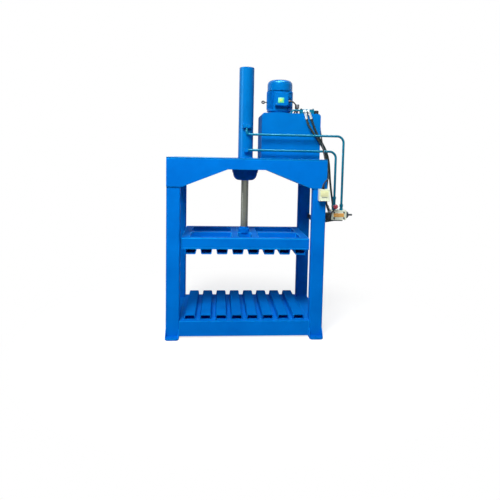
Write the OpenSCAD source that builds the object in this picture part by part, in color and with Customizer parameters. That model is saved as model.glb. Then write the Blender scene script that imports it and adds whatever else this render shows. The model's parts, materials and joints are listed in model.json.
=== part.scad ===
// Four-post hydraulic press with a ribbed platen and a power unit on its crown.
// Millimetres. X to the right, Y to the rear, Z up; origin on the floor, at the centre of the four anchors.

/* [Frame] */
// Width over the posts
frame_w = 1400; // [1200:10:1700]
// Depth over the crown webs
frame_d = 800; // [700:10:1000]
// Height of the crown's top
frame_h = 1600; // [1450:10:1900]
// Width of a post
post_w = 120; // [100:5:150]
// Depth of a post
post_d = 80; // [60:5:100]
// Wall of a post
post_wall = 6; // [4:1:10]
// Outer corner radius of a post
post_corner = 12; // [10:1:18]

/* [Feet] */
// Thickness of a foot plate
foot_t = 15; // [10:1:25]
// Reach of a foot plate past its post
foot_reach = 60; // [50:1:90]
// Clipped corners of a foot plate
foot_clip = 18; // [8:1:24]
// Anchor hole
anchor_d = 18; // [12:1:24]
// Height of the foot gussets
foot_gusset_h = 70; // [40:1:120]
// Thickness of the foot gussets
foot_gusset_t = 8; // [5:1:12]

/* [Base and bed] */
// Height of the base beams
base_h = 135; // [100:1:180]
// Flange width of the base beams
base_flange = 60; // [45:1:90]
// Wall of the base beams, sills and bearers
base_wall = 8; // [6:1:12]
// Thickness of the bed plate
bed_t = 10; // [6:1:16]
// Distance of each bearer from the middle
bearer_x = 280; // [150:5:400]
// Set-back of the bed ribs from the front of the base
rib_front_set = 42; // [20:1:80]
// Set-back of the bed ribs from the rear of the base
rib_rear_set = 8; // [0:1:60]

/* [Ribs] */
// Number of ribs on the bed, and on the platen
rib_n = 8; // [4:1:9]
// Spacing of the ribs
rib_pitch = 140; // [120:1:150]
// Width of a rib's pressing face
rib_face_w = 90; // [70:1:95]
// Height of a rib
rib_h = 45; // [35:1:60]
// Sheet thickness of a rib
rib_t = 6; // [4:1:8]
// Slope of a rib's flanks, in degrees
rib_flank = 9; // [4:1:12]
// Outer bend radius of a rib
rib_bend = 9; // [8:1:12]

/* [Crown] */
// Thickness of the crown webs
web_t = 12; // [8:1:20]
// Depth of the crown at mid-span
crown_h = 100; // [80:1:140]
// Drop of the haunches to the posts
haunch_drop = 155; // [100:1:220]
// Width of the level stretch between the haunches
crown_flat = 340; // [320:1:420]
// How far the haunches reach inside the posts
haunch_lap = 18; // [5:1:40]
// Thickness of the crown's top plate
crown_top_t = 12; // [8:1:20]
// Thickness of the soffit plate
soffit_t = 10; // [6:1:14]
// Thickness of the end plates and cross plates
crown_plate_t = 10; // [6:1:16]

/* [Cylinder] */
// Outside of the cylinder tube
tube_od = 140; // [132:1:160]
// Bore of the cylinder
tube_bore = 110; // [100:1:118]
// Thickness of the closed end
cap_t = 30; // [20:1:40]
// Diameter of the ram rod
rod_d = 70; // [60:1:76]
// Diameter of the gland housing
gland_d = 250; // [225:1:290]
// Height of the gland housing
gland_h = 111; // [100:1:140]
// Diameter of the gland housing's nose
gland_nose_d = 124; // [110:1:150]
// Outside of the gland bush
bush_od = 88; // [84:1:96]
// Length of the piston
piston_l = 80; // [70:1:110]
// Travel upwards from the pose shown
stroke_up = 420; // [200:5:430]
// Travel downwards from the pose shown
stroke_down = 460; // [200:5:500]

/* [Platen] */
// Height of the platen's top in the pose shown
platen_z = 888; // [850:1:910]
// Clearance between platen and posts
platen_gap = 8; // [4:1:20]
// Depth of the platen, front to back
platen_d = 680; // [600:5:700]
// Height of the platen's bars
bar_h = 90; // [80:1:120]
// Width of the outer bars
bar_w = 72; // [60:1:90]
// Width of the middle bar under the rod
mid_bar_w = 84; // [80:1:100]
// Width of the two cross bars
cross_bar_w = 62; // [50:1:80]
// Clear width between the cross bars
cross_bar_gap = 122; // [112:1:200]
// Wall of the bars
bar_wall = 8; // [5:1:12]
// Thickness of the pressing plate
platen_plate_t = 10; // [6:1:16]
// Thickness of the pad behind the rod
pad_t = 15; // [8:1:20]
// Diameter of the rod socket
socket_d = 104; // [96:1:112]
// Height of the rod socket
socket_h = 55; // [40:1:70]

/* [Tank] */
// Left side of the tank from the middle
tank_x = 150; // [130:1:200]
// Width of the tank
tank_w = 562; // [520:1:600]
// Front of the tank from the middle, towards the rear
tank_y = -20; // [-30:1:0]
// Depth of the tank
tank_d = 415; // [380:1:420]
// Height of the tank
tank_h = 430; // [400:1:480]
// Sheet of the tank
tank_t = 4; // [3:1:6]
// Bend radius of the tank's upper edges
tank_bend = 28; // [12:1:40]

/* [Motor] */
// Motor axis from the tank's left side
motor_dx = 190; // [170:1:240]
// Motor axis from the tank's front
motor_dy = 210; // [190:1:230]
// Height of the drive-end bell
bell_h = 50; // [40:1:70]
// Diameter of the drive-end bell
bell_d = 238; // [220:1:244]
// Height of the finned frame
stator_h = 172; // [150:1:200]
// Diameter of the frame under its fins
stator_d = 226; // [210:1:232]
// Height of the fins
fin_h = 16; // [8:1:22]
// Thickness of a fin
fin_t = 4; // [3:0.5:6]
// Number of fins in a full turn
fin_n = 36; // [24:2:44]
// Diameter of the fan cover
cowl_d = 246; // [236:1:256]
// Height of the fan cover
cowl_h = 105; // [90:1:120]
// Rounding of the fan cover's top
cowl_round = 44; // [20:1:50]
// Sheet of the fan cover
cowl_t = 3; // [2:0.5:5]
// Diameter of the motor shaft
shaft_d = 28; // [24:1:34]
// Width of the terminal box
term_w = 130; // [110:1:140]
// Height of the terminal box
term_h = 126; // [110:1:135]
// Depth of the terminal box
term_out = 50; // [40:1:60]

/* [Pipes and valve] */
// Outside of the oil pipes
pipe_d = 22; // [16:1:24]
// Distance of the pipes in front of the cylinder's axis
pipe_y = 88; // [86:1:96]
// Bend radius of the pipes at the right
pipe_bend = 62; // [50:1:70]
// Height of the upper pipe's run above the crown
pipe_upper_z = 219; // [200:1:250]
// Height of the lower pipe's run above the crown
pipe_lower_z = 74; // [50:1:90]
// Height of the upper port block above the crown
port_z = 296; // [285:1:330]
// Left side of the valve body from the middle
valve_x = 817; // [805:1:840]
// Underside of the valve body
valve_z = 1032; // [1000:1:1060]
// Width of the valve body
valve_w = 144; // [138:1:160]
// Height of the valve body
valve_h = 89; // [80:1:100]
// Depth of the valve body
valve_d = 90; // [80:1:100]
// Lower pipe from the valve's left side
port_a_x = 34; // [30:1:40]
// Upper pipe from the valve's left side
port_b_x = 104; // [98:1:110]
// Diameter of the spool
spool_d = 20; // [16:1:22]
// Width of the lever housing
housing_w = 66; // [60:1:75]
// Height of the lever housing
housing_h = 62; // [58:1:70]
// Lever length to the middle of the knob
lever_l = 126; // [110:1:140]
// Lean of the lever at rest, in degrees
lever_lean = 32; // [25:1:42]
// Diameter of the lever's knob
knob_d = 44; // [36:1:48]

/* [Starter] */
// Width of the starter box
starter_w = 90; // [85:1:110]
// Height of the starter box
starter_h = 105; // [100:1:130]
// Depth of the starter box
starter_d = 65; // [50:1:80]
// How far the starter box stands past the post's outer side
starter_over = 15; // [0:1:25]
// Gap between the starter box and the crown's web above it
starter_drop = 1; // [1:1:40]

/* [Fits] */
// Radial running clearance of rod, piston and shafts
run_fit = 0.05; // [0.02:0.01:0.1]
// Radial clearance of pieces that are assembled and stay put
seat_fit = 0.1; // [0.05:0.01:0.2]
// Clearance between pieces that pass each other
pass_gap = 0.5; // [0.3:0.1:1]

/* [Hidden] */
$fn = 64;
e = 1;

post_y = frame_d / 2 - web_t;
post_in_x = frame_w / 2 - post_w;
base_top = foot_t + base_h;
crown_z = frame_h - crown_h;
haunch_z = crown_z - haunch_drop;
haunch_x = post_in_x - haunch_lap;
plate_under = frame_h - crown_top_t;

gland_z = crown_z - gland_h;
wiper_h = 8;
lip_t = 6;
tube_seat = 30;
bush_l = 38;
bush_z = gland_z + wiper_h + lip_t;
bore_floor = bush_z + bush_l;
end_play = 5;
piston_z = bore_floor + end_play + stroke_down;
bore_top = piston_z + piston_l + stroke_up + end_play;
tube_z = crown_z - tube_seat;
gland_bolt_n = 8;
gland_bolt_d = 16;
gland_bolt_pcd = tube_od / 2 + gland_d / 2;
spigot_d = 48;
nut_h = 34;
nut_af = 72;
seal_w = 12;
seal_depth = 5;

platen_w = 2 * (post_in_x - platen_gap);
platen_under = platen_z - bar_h - platen_plate_t;
pocket_y0 = mid_bar_w / 2;
pocket_y1 = platen_d / 2 - bar_w;
cross_out = cross_bar_gap / 2 + cross_bar_w;

tank_top = frame_h + tank_h;
motor_x = tank_x + motor_dx;
motor_y = tank_y + motor_dy;
stator_z = tank_top + bell_h;
seam_h = 5;
cowl_z = stator_z + stator_h + seam_h;
rotor_d = 120;
rotor_l = 110;
bearing_od = 62;
bearing_w = 16;
pump_drop = 70;
pump_h = 120;
pump_w = 96;
bracket_od = 132;
bracket_wall = 9;
eye_h = 70;
term_seat = motor_y - stator_d / 2 - 10;
term_front = term_seat - term_out;
term_z = stator_z + 22;
term_lid_t = 14;
term_gland_y = term_seat - 23;
term_gland_z = term_z + 46;
filler_in = 36;
filler_dy = 50;
filler_x = tank_x + tank_w - filler_in;
filler_y = tank_y + filler_dy;
filler_neck_d = 34;
filler_neck_h = 12;
breather_dx = 350;
breather_dy = 118;
breather_x = tank_x + breather_dx;
breather_y = tank_y + breather_dy;
gland_nut_af = 24;
gland_nut_h = 12;
gland_tail = 10;
cable_d = 12;

pipe_a_x = valve_x + port_a_x;
pipe_b_x = valve_x + port_b_x;
upper_run = frame_h + pipe_upper_z;
lower_run = frame_h + pipe_lower_z;
upper_port = frame_h + port_z;
valve_top = valve_z + valve_h;
valve_mid = valve_z + valve_h / 2;
fitting_af = 30;
fitting_a_h = 128;
fitting_b_h = 56;
port_block_w = 76;
port_block_h = 34;
low_block = 40;
screw_d = 8;
screw_l = 20;

pivot_x = valve_x - housing_w / 2;
pivot_z = valve_z + 20;
pivot_d = 14;
crank_l = valve_mid - pivot_z;
housing_wall = 6;
housing_d = 62;
lever_y = pipe_y + valve_d / 2 + 17;
lever_dir = [sin(lever_lean), 0, cos(lever_lean)];
tip_d = 9.4;
slot_w = 10;
slot_up = 6;

starter_x = frame_w / 2 + starter_over - starter_w;
starter_z = haunch_z - starter_drop - starter_h;
starter_cover_t = 12;
starter_gland_x = 35;
starter_gland_y = 36;

hose_d = 20;
hose_sides = 10;
cable_sides = 8;
ferrule_d = 26;
ferrule_l = 62;
hose_nut_af = 28;
elbow_d = 24;
block_w = 132;
block_h = 42;
block_d = 60;
block_dx = 366;
block_dy = 10;
block_x = tank_x + block_dx;
block_y = tank_y + block_dy;
outlet_d = 18;
outlet_dx = 284;
outlet_rise = 32;
outlet_x = tank_x + outlet_dx;
outlet_y = block_y + block_d / 2;
hose_top_rise = 21;
hose_top_out = 35;
hose_a_top_dx = 37;
hose_b_top_dx = 70;
hose_top_z = tank_top + hose_top_rise;
hose_top_y = block_y - hose_top_out;
hose_a_top_x = block_x + hose_a_top_dx;
hose_b_top_x = block_x + hose_b_top_dx;
hose_a_tilt = 13;
hose_b_tilt = 22;
elbow_drop = 16;
hose_low_out = 45;
hose_a_low_tilt = 22;
hose_b_low_tilt = 8;
hose_a_low_dx = 19;
hose_b_low_dx = 55;
hose_low_y = valve_d / 2 - pipe_y + hose_low_out;
hose_a_low_x = valve_x + hose_a_low_dx;
hose_b_low_x = valve_x + hose_b_low_dx;

// Routes of the free hoses and of the motor cable, chosen by hand
hose_pressure_route = [
    [571, -45, 1975], [579, -46, 1945], [596, -48, 1910], [618, -50, 1875], [645, -52, 1836],
    [675, -53, 1795], [705, -54, 1752], [733, -54, 1708], [755, -53, 1660], [771, -51, 1610],
    [782, -49, 1560], [788, -45, 1510], [791, -40, 1455], [791, -32, 1400], [789, -24, 1345],
    [787, -15, 1290], [787, -8, 1245], [790, -3, 1208], [797, 1, 1175], [806.6, 2, 1149.2]
];
hose_return_route = [
    [615, -45, 1979], [626, -43, 1951], [641, -39, 1915], [658, -36, 1876], [680, -34, 1835],
    [706, -33, 1790], [733, -33, 1745], [760, -33, 1697], [781, -32, 1645], [796, -30, 1590],
    [806, -27, 1530], [813, -22, 1470], [820, -17, 1410], [828, -12, 1355], [836, -7, 1305],
    [844, -3, 1260], [851, 0, 1220], [857, 2, 1185], [861.1, 2, 1154.1]
];
cable_route = [
    [410, 44, 2148], [428, 44, 2148], [447, 44.5, 2144.5], [463, 45.5, 2134], [474.5, 47, 2118],
    [480, 50, 2096], [479.5, 57, 2072], [476, 69, 2053.5], [471.5, 88.5, 2041.5],
    [468.5, 120, 2037], [468, 173, 2036.5], [471, 209.5, 2036.5], [481.5, 233.5, 2036.5],
    [499, 251.5, 2036.5], [522, 261.5, 2036.5], [548, 262.5, 2036.5], [573.5, 254, 2036.5],
    [607, 230, 2036.5], [652.5, 194, 2037.5], [686, 170, 2039.5], [706.5, 153.5, 2033],
    [718.5, 137.5, 2017.5], [721, 116, 1990], [720, 80, 1945.5], [720, 44, 1900.5],
    [720, -11, 1834.5], [719, -67.5, 1769.5], [716.5, -125, 1706], [715, -184.5, 1646.5],
    [714, -246.5, 1589.5], [713.5, -306, 1538], [713.5, -355, 1496], [713, -393, 1463],
    [708, -411, 1443], [696.5, -421, 1425.5], [678, -424.5, 1407.5], [665.5, -424.3, 1387.5],
    [660, -424, 1366], [660, -424, 1348]
];

BLUE = [0.0, 0.43, 0.84];
TEAL = [0.05, 0.45, 0.6];
STEEL = [0.75, 0.77, 0.78];
DARK = [0.15, 0.17, 0.19];
CREAM = [0.92, 0.92, 0.78];
BRONZE = [0.72, 0.52, 0.25];

// Shared shapes

// Rectangle with round corners, centred
module round_rect(w, d, r) {
    square([w - 2 * r, d], center = true);
    square([w, d - 2 * r], center = true);
    for (x = [-1, 1], y = [-1, 1])
        translate([x * (w / 2 - r), y * (d / 2 - r)]) circle(r);
}

// Points of an arc, from angle a0 to a1
function arc(c, r, a0, a1, n = 4) =
    [for (i = [0:n]) c + r * [cos(a0 + (a1 - a0) * i / n), sin(a0 + (a1 - a0) * i / n)]];

// Outline in X and Z, extruded from y0 towards +Y
module along_y(y0, l) { translate([0, y0 + l, 0]) rotate([90, 0, 0]) linear_extrude(l) children(); }

// Frame at o whose local Z runs along d
function side_of(d) = abs(d[2]) > 0.9 ? [1, 0, 0] : [0, 0, 1];
function unit(v) = v / norm(v);
module placed(o, ex, ey, ez) {
    multmatrix([
        [ex[0], ey[0], ez[0], o[0]],
        [ex[1], ey[1], ez[1], o[1]],
        [ex[2], ey[2], ez[2], o[2]],
        [0, 0, 0, 1]
    ]) children();
}
module along(o, d) {
    ex = unit(cross(side_of(d), d));
    placed(o, ex, cross(d, ex), d) children();
}

// Pipe with square corners; bends holds the bend radius at each point, with 0 at both ends
module pipe_run(p, r, bends) {
    last = len(p) - 1;
    for (i = [0:last - 1]) {
        d = unit(p[i + 1] - p[i]);
        along(p[i] + bends[i] * d, d) cylinder(r = r, h = norm(p[i + 1] - p[i]) - bends[i] - bends[i + 1]);
    }
    for (i = [1:1:last - 1]) {
        d1 = unit(p[i] - p[i - 1]);
        d2 = unit(p[i + 1] - p[i]);
        placed(p[i] - bends[i] * d1 + bends[i] * d2, -d2, d1, cross(-d2, d1))
            rotate_extrude(angle = 90) translate([bends[i], 0]) circle(r);
    }
}

// Tube swept along a hand-chosen route, with rings carried from one to the next without twist
function tangent(p, i) = unit(p[min(i + 1, len(p) - 1)] - p[max(i - 1, 0)]);
function flatten_on(v, t) = unit(v - (v * t) * t);
function carried(p, i) = i == 0
    ? flatten_on([0, 1, 0.1], tangent(p, 0))
    : flatten_on(carried(p, i - 1), tangent(p, i));
module swept_cord(p, d, sides) {
    n = len(p);
    rings = [for (i = [0:n - 1])
        let (t = tangent(p, i), a = carried(p, i), b = cross(t, a))
        for (k = [0:sides - 1]) p[i] + d / 2 * (cos(360 * k / sides) * a + sin(360 * k / sides) * b)];
    walls = [for (i = [0:n - 2], k = [0:sides - 1])
        let (m = (k + 1) % sides)
        each [[i * sides + k, (i + 1) * sides + k, (i + 1) * sides + m],
              [i * sides + k, (i + 1) * sides + m, i * sides + m]]];
    first = [[for (k = [0:sides - 1]) k]];
    final = [[for (k = [sides - 1:-1:0]) (n - 1) * sides + k]];
    polyhedron(concat(rings), concat(walls, first, final));
}

// Frame

module post(sx, sy) {
    color(BLUE)
        translate([sx * (frame_w - post_w) / 2, sy * (post_y - post_d / 2), foot_t])
        linear_extrude(plate_under - foot_t) difference() {
            round_rect(post_w, post_d, post_corner);
            round_rect(post_w - 2 * post_wall, post_d - 2 * post_wall, post_corner - post_wall);
        }
}

module front_posts() { for (sx = [-1, 1]) post(sx, -1); }
module rear_posts() { for (sx = [-1, 1]) post(sx, 1); }

// One anchored foot, at the right rear; the others mirror it
module foot() {
    outer = frame_w / 2;
    y_end = post_y + foot_reach;
    difference() {
        linear_extrude(foot_t) polygon([
            [post_in_x, post_y - post_d], [outer, post_y - post_d], [outer, y_end - foot_clip],
            [outer - foot_clip, y_end], [post_in_x + foot_clip, y_end], [post_in_x, y_end - foot_clip]
        ]);
        translate([(post_in_x + outer) / 2, post_y + foot_reach / 2, -e])
            cylinder(d = anchor_d, h = foot_t + 2 * e);
    }
    for (x = [post_in_x, outer - foot_gusset_t])
        translate([x, 0, foot_t]) rotate([90, 0, 90]) linear_extrude(foot_gusset_t) polygon([
            [post_y, 0], [y_end - foot_clip, 0], [y_end - foot_clip, foot_gusset_t], [post_y, foot_gusset_h]
        ]);
}

module feet() {
    color(BLUE) for (mx = [0, 1], my = [0, 1])
        mirror([mx, 0, 0]) mirror([0, my, 0]) foot();
}

// Base beams, channels at the front and rear that open to the middle of the base
module base_beams() {
    color(BLUE) for (my = [0, 1]) mirror([0, my, 0]) difference() {
        translate([-post_in_x, -post_y, foot_t]) cube([2 * post_in_x, base_flange, base_h]);
        translate([-post_in_x - e, -post_y + base_wall, foot_t + base_wall])
            cube([2 * post_in_x + 2 * e, base_flange, base_h - 2 * base_wall]);
    }
}

// Side sills, channels between the posts that open inwards
module base_sills() {
    sill_y = post_y - post_d;
    color(BLUE) for (mx = [0, 1]) mirror([mx, 0, 0]) difference() {
        translate([post_in_x, -sill_y, foot_t]) cube([post_w, 2 * sill_y, base_h]);
        translate([post_in_x - e, -sill_y - e, foot_t + base_wall])
            cube([post_w - base_wall + e, 2 * sill_y + 2 * e, base_h - 2 * base_wall]);
    }
}

// Bearers under the bed plate, channels that run front to back
module bed_bearers() {
    bearer_y = post_y - base_flange;
    bearer_h = base_h - bed_t;
    color(BLUE) for (mx = [0, 1]) mirror([mx, 0, 0]) difference() {
        translate([bearer_x, -bearer_y, foot_t]) cube([base_flange, 2 * bearer_y, bearer_h]);
        translate([bearer_x + base_wall, -bearer_y - e, foot_t + base_wall])
            cube([base_flange, 2 * bearer_y + 2 * e, bearer_h - 2 * base_wall]);
    }
}

module bed_plate() {
    bed_y = post_y - base_flange;
    color(BLUE) translate([-post_in_x, -bed_y, base_top - bed_t]) cube([2 * post_in_x, 2 * bed_y, bed_t]);
}

// Folded rib on end: feet at z = 0, pressing face up
module rib_profile() {
    half = rib_face_w / 2;
    lean = tan(rib_flank);
    foot_half = half + rib_h * lean;
    inset = rib_t / cos(rib_flank);
    turn = 90 - rib_flank;
    bend_x = half - rib_bend * tan(turn / 2);
    right = arc([bend_x, rib_h - rib_bend], rib_bend, rib_flank, 90);
    left = [for (i = [len(right) - 1:-1:0]) [-right[i][0], right[i][1]]];
    difference() {
        polygon(concat([[-foot_half, 0], [foot_half, 0]], right, left));
        polygon([
            [-foot_half + inset - lean * e, -e], [foot_half - inset + lean * e, -e],
            [half - inset + lean * rib_t, rib_h - rib_t], [-half + inset - lean * rib_t, rib_h - rib_t]
        ]);
    }
}

module rib_row(y0, y1) {
    for (i = [0:rib_n - 1])
        translate([(i - (rib_n - 1) / 2) * rib_pitch, 0, 0]) along_y(y0, y1 - y0) rib_profile();
}

module bed_ribs() {
    color(BLUE) translate([0, 0, base_top]) rib_row(-post_y + rib_front_set, post_y - rib_rear_set);
}

// Crown

module web_outline() {
    polygon([
        [-frame_w / 2, haunch_z], [-haunch_x, haunch_z], [-crown_flat / 2, crown_z],
        [crown_flat / 2, crown_z],
        [haunch_x, haunch_z], [frame_w / 2, haunch_z], [frame_w / 2, plate_under],
        [-frame_w / 2, plate_under]
    ]);
}
module crown_webs() {
    color(BLUE) for (y = [-frame_d / 2, post_y]) along_y(y, web_t) web_outline();
}

module crown_top_plate() {
    color(BLUE) difference() {
        translate([-frame_w / 2, -frame_d / 2, plate_under]) cube([frame_w, frame_d, crown_top_t]);
        translate([0, 0, plate_under - e]) cylinder(d = tube_od + 2 * pass_gap, h = crown_top_t + 2 * e);
    }
}

// Bent plate that closes the crown from below and carries the gland
module crown_soffit() {
    lower = [
        [-post_in_x, haunch_z], [-haunch_x, haunch_z], [-crown_flat / 2, crown_z],
        [crown_flat / 2, crown_z], [haunch_x, haunch_z], [post_in_x, haunch_z]
    ];
    upper = [for (i = [len(lower) - 1:-1:0]) lower[i] + [0, soffit_t]];
    color(BLUE) difference() {
        along_y(-post_y, 2 * post_y) polygon(concat(lower, upper));
        translate([0, 0, crown_z - e]) cylinder(d = tube_od + 2 * pass_gap, h = soffit_t + 2 * e);
        gland_bolt_ring() translate([0, 0, crown_z - e])
            cylinder(d = gland_bolt_d + 2 * pass_gap, h = soffit_t + 2 * e);
    }
}

// End plates between the posts, and cross plates beside the cylinder
module crown_plates() {
    end_y = post_y - post_d;
    end_x = frame_w / 2 - post_corner - crown_plate_t;
    cross_x = gland_d / 2 + crown_plate_t;
    cross_z = crown_z + soffit_t;
    color(BLUE) for (mx = [0, 1]) mirror([mx, 0, 0]) {
        translate([end_x, -end_y, haunch_z]) cube([crown_plate_t, 2 * end_y, plate_under - haunch_z]);
        translate([cross_x, -post_y, cross_z]) cube([crown_plate_t, 2 * post_y, plate_under - cross_z]);
    }
}

// Cylinder

module cylinder_tube() {
    color(BLUE) translate([0, 0, tube_z]) difference() {
        cylinder(d = tube_od, h = bore_top - tube_z);
        translate([0, 0, -e]) cylinder(d = tube_bore, h = bore_top - tube_z + 2 * e);
    }
}

module cylinder_cap() {
    edge = 4;
    color(BLUE) translate([0, 0, bore_top]) {
        cylinder(d = tube_od, h = cap_t - edge);
        translate([0, 0, cap_t - edge]) cylinder(d1 = tube_od, d2 = tube_od - 2 * edge, h = edge);
    }
}

module gland_bolt_ring() {
    for (i = [0:gland_bolt_n - 1])
        rotate([0, 0, (i + 0.5) * 360 / gland_bolt_n]) translate([gland_bolt_pcd / 2, 0, 0]) children();
}

// Bowl-shaped housing under the soffit, bored for the tube, the bush and the wiper
module gland_housing() {
    r = gland_d / 2;
    nose = gland_nose_d / 2;
    flange_h = 40;
    flange_edge = 12;
    flange_draft = 5;
    step = 5;
    bowl_r = r - flange_draft - step - nose;
    bowl_h = gland_h - flange_h;
    flange_z = crown_z - flange_h;
    curve = [for (a = [90:-11.25:0]) [nose + bowl_r * cos(a), gland_z + bowl_h * (1 - sin(a))]];
    bolt_depth = 30;
    color(BLUE) difference() {
        rotate_extrude() polygon(concat(
            [[rod_d / 2 + 2, gland_z]], curve,
            [[r - flange_draft, flange_z], [r, crown_z - flange_edge], [r, crown_z],
             [tube_od / 2 + seat_fit, crown_z], [tube_od / 2 + seat_fit, tube_z],
             [tube_bore / 2, tube_z], [tube_bore / 2, bore_floor], [bush_od / 2 + seat_fit, bore_floor],
             [bush_od / 2 + seat_fit, bush_z], [rod_d / 2 + 2, bush_z]]
        ));
        translate([0, 0, gland_z - e]) cylinder(d = bush_od - 2, h = wiper_h + e);
        gland_bolt_ring() translate([0, 0, crown_z - bolt_depth])
            cylinder(d = gland_bolt_d + 2 * seat_fit, h = bolt_depth + e);
    }
}

module gland_bush() {
    color(BRONZE) translate([0, 0, bush_z]) difference() {
        cylinder(d = bush_od, h = bush_l);
        translate([0, 0, -e]) cylinder(d = rod_d + 2 * run_fit, h = bush_l + 2 * e);
    }
}

module wiper_ring() {
    wiper_gap = 0.3;
    color(DARK) translate([0, 0, gland_z]) difference() {
        cylinder(d = bush_od - 2 - 2 * seat_fit, h = wiper_h);
        translate([0, 0, -e]) cylinder(d = rod_d + 2 * wiper_gap, h = wiper_h + 2 * e);
    }
}

module gland_bolts() {
    head_h = 10;
    head_af = 24;
    shank = 28;
    color(STEEL) gland_bolt_ring() {
        translate([0, 0, crown_z + soffit_t]) cylinder(d = head_af / cos(30), h = head_h, $fn = 6);
        translate([0, 0, crown_z - shank + soffit_t]) cylinder(d = gland_bolt_d, h = shank);
    }
}

// Blocks welded to the tube, one for each oil port
module port_blocks() {
    upper_out = pipe_y + pipe_d / 2 + 4;
    color(BLUE) {
        difference() {
            translate([-port_block_w / 2, -upper_out, upper_port - port_block_h / 2])
                cube([port_block_w, upper_out, port_block_h]);
            translate([0, 0, upper_port - port_block_h])
                cylinder(d = tube_od + 2 * seat_fit, h = 2 * port_block_h);
        }
        difference() {
            translate([-low_block / 2, -upper_out - 4, lower_run - low_block / 2])
                cube([low_block, upper_out + 4, low_block]);
            translate([0, 0, lower_run - low_block]) cylinder(d = tube_od + 2 * seat_fit, h = 2 * low_block);
        }
    }
}

// Ram: piston, rod and platen, which travel together

module piston() {
    nut_room = 92;
    color(STEEL) translate([0, 0, piston_z]) difference() {
        cylinder(d = tube_bore - 2 * run_fit, h = piston_l);
        translate([0, 0, -e]) cylinder(d = spigot_d + 2 * seat_fit, h = piston_l + 2 * e);
        translate([0, 0, piston_l - nut_h - 4]) cylinder(d = nut_room, h = nut_h + 4 + e);
        translate([0, 0, seal_w]) difference() {
            cylinder(d = tube_bore + e, h = seal_w);
            translate([0, 0, -e]) cylinder(d = tube_bore - 2 * seal_depth, h = seal_w + 2 * e);
        }
    }
}

module piston_seal() {
    lip = 0.3;
    color(DARK) translate([0, 0, piston_z + seal_w + seat_fit]) difference() {
        cylinder(d = tube_bore - 2 * lip, h = seal_w - 2 * seat_fit);
        translate([0, 0, -e]) cylinder(d = tube_bore - 2 * seal_depth + 2 * seat_fit, h = seal_w + 2 * e);
    }
}

module piston_nut() {
    color(STEEL) translate([0, 0, piston_z + piston_l - nut_h - 4]) difference() {
        cylinder(d = nut_af / cos(30), h = nut_h, $fn = 6);
        translate([0, 0, -e]) cylinder(d = spigot_d + 2 * seat_fit, h = nut_h + 2 * e);
    }
}

module ram_rod() {
    color(STEEL) {
        translate([0, 0, platen_z]) cylinder(d = rod_d, h = piston_z - platen_z);
        translate([0, 0, piston_z]) cylinder(d = spigot_d, h = piston_l - 4);
    }
}

// Socket that holds the rod on the platen, with a tapered shoulder
module rod_socket() {
    r = socket_d / 2;
    bore = rod_d / 2 + seat_fit;
    collar = 4;
    flare = 20;
    neck = bore + collar;
    top = platen_z + socket_h;
    color(BLUE) rotate_extrude() polygon(concat(
        [[bore, platen_z], [r, platen_z]],
        [for (i = [0:6]) [r - (r - neck) * sin(i * 15), top - flare * cos(i * 15)]],
        [[bore, top]]
    ));
}

// Welded grillage of the platen: open pockets above, bars hollow from below
module platen_frame() {
    half = platen_w / 2;
    under = platen_under + platen_plate_t;
    inner = half - bar_w;
    color(BLUE) difference() {
        translate([-half, -platen_d / 2, under]) cube([platen_w, platen_d, bar_h]);
        for (mx = [0, 1], my = [0, 1]) mirror([mx, 0, 0]) mirror([0, my, 0])
            translate([cross_out, pocket_y0, under - e])
                cube([inner - cross_out, pocket_y1 - pocket_y0, bar_h + 2 * e]);
        for (my = [0, 1]) mirror([0, my, 0])
            translate([-cross_bar_gap / 2, pocket_y0, under - e])
            cube([cross_bar_gap, pocket_y1 - pocket_y0, bar_h + 2 * e]);
        bar_hollows(under, inner);
    }
}

// Room inside each bar, open towards the pressing plate
module bar_hollows(under, inner) {
    room = bar_h - bar_wall + e;
    half = platen_w / 2;
    for (my = [0, 1]) mirror([0, my, 0])
        translate([-half + bar_wall, pocket_y1 + bar_wall, under - e])
            cube([platen_w - 2 * bar_wall, bar_w - 2 * bar_wall, room]);
    translate([-inner + bar_wall, -pocket_y0 + bar_wall, under - e])
        cube([2 * inner - 2 * bar_wall, mid_bar_w - 2 * bar_wall, room]);
    for (mx = [0, 1]) mirror([mx, 0, 0])
        translate([inner + bar_wall, -pocket_y1 + bar_wall, under - e])
        cube([bar_w - 2 * bar_wall, 2 * pocket_y1 - 2 * bar_wall, room]);
    for (mx = [0, 1], my = [0, 1]) mirror([mx, 0, 0]) mirror([0, my, 0])
        translate([cross_bar_gap / 2 + bar_wall, pocket_y0 + bar_wall, under - e])
        cube([cross_bar_w - 2 * bar_wall, pocket_y1 - pocket_y0 - 2 * bar_wall, room]);
}

module platen_plate() {
    color(BLUE) translate([-platen_w / 2, -platen_d / 2, platen_under])
        cube([platen_w, platen_d, platen_plate_t]);
}

module platen_pad() {
    color(BLUE) translate([-cross_bar_gap / 2, pocket_y0, platen_z - pad_t])
        cube([cross_bar_gap, pocket_y1 - pocket_y0, pad_t]);
}

module platen_ribs() {
    color(BLUE) translate([0, 0, platen_under]) mirror([0, 0, 1]) rib_row(-platen_d / 2, platen_d / 2);
}

// Power unit

// Folded wrapper with round upper edges and flat ends, hollow, with its filler neck
module tank() {
    hole_gap = 2 * pass_gap;
    lid = tank_top - 2 * tank_t;
    color(BLUE) difference() {
        union() {
            tank_form(0);
            translate([filler_x, filler_y, tank_top]) cylinder(d = filler_neck_d, h = filler_neck_h);
        }
        tank_form(tank_t);
        translate([motor_x, motor_y, lid]) cylinder(d = bracket_od + hole_gap, h = 3 * tank_t);
        translate([outlet_x, outlet_y, lid]) cylinder(d = outlet_d + hole_gap, h = 3 * tank_t);
        translate([filler_x, filler_y, lid]) cylinder(d = filler_neck_d - 8, h = 3 * tank_t + filler_neck_h);
    }
}

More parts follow.
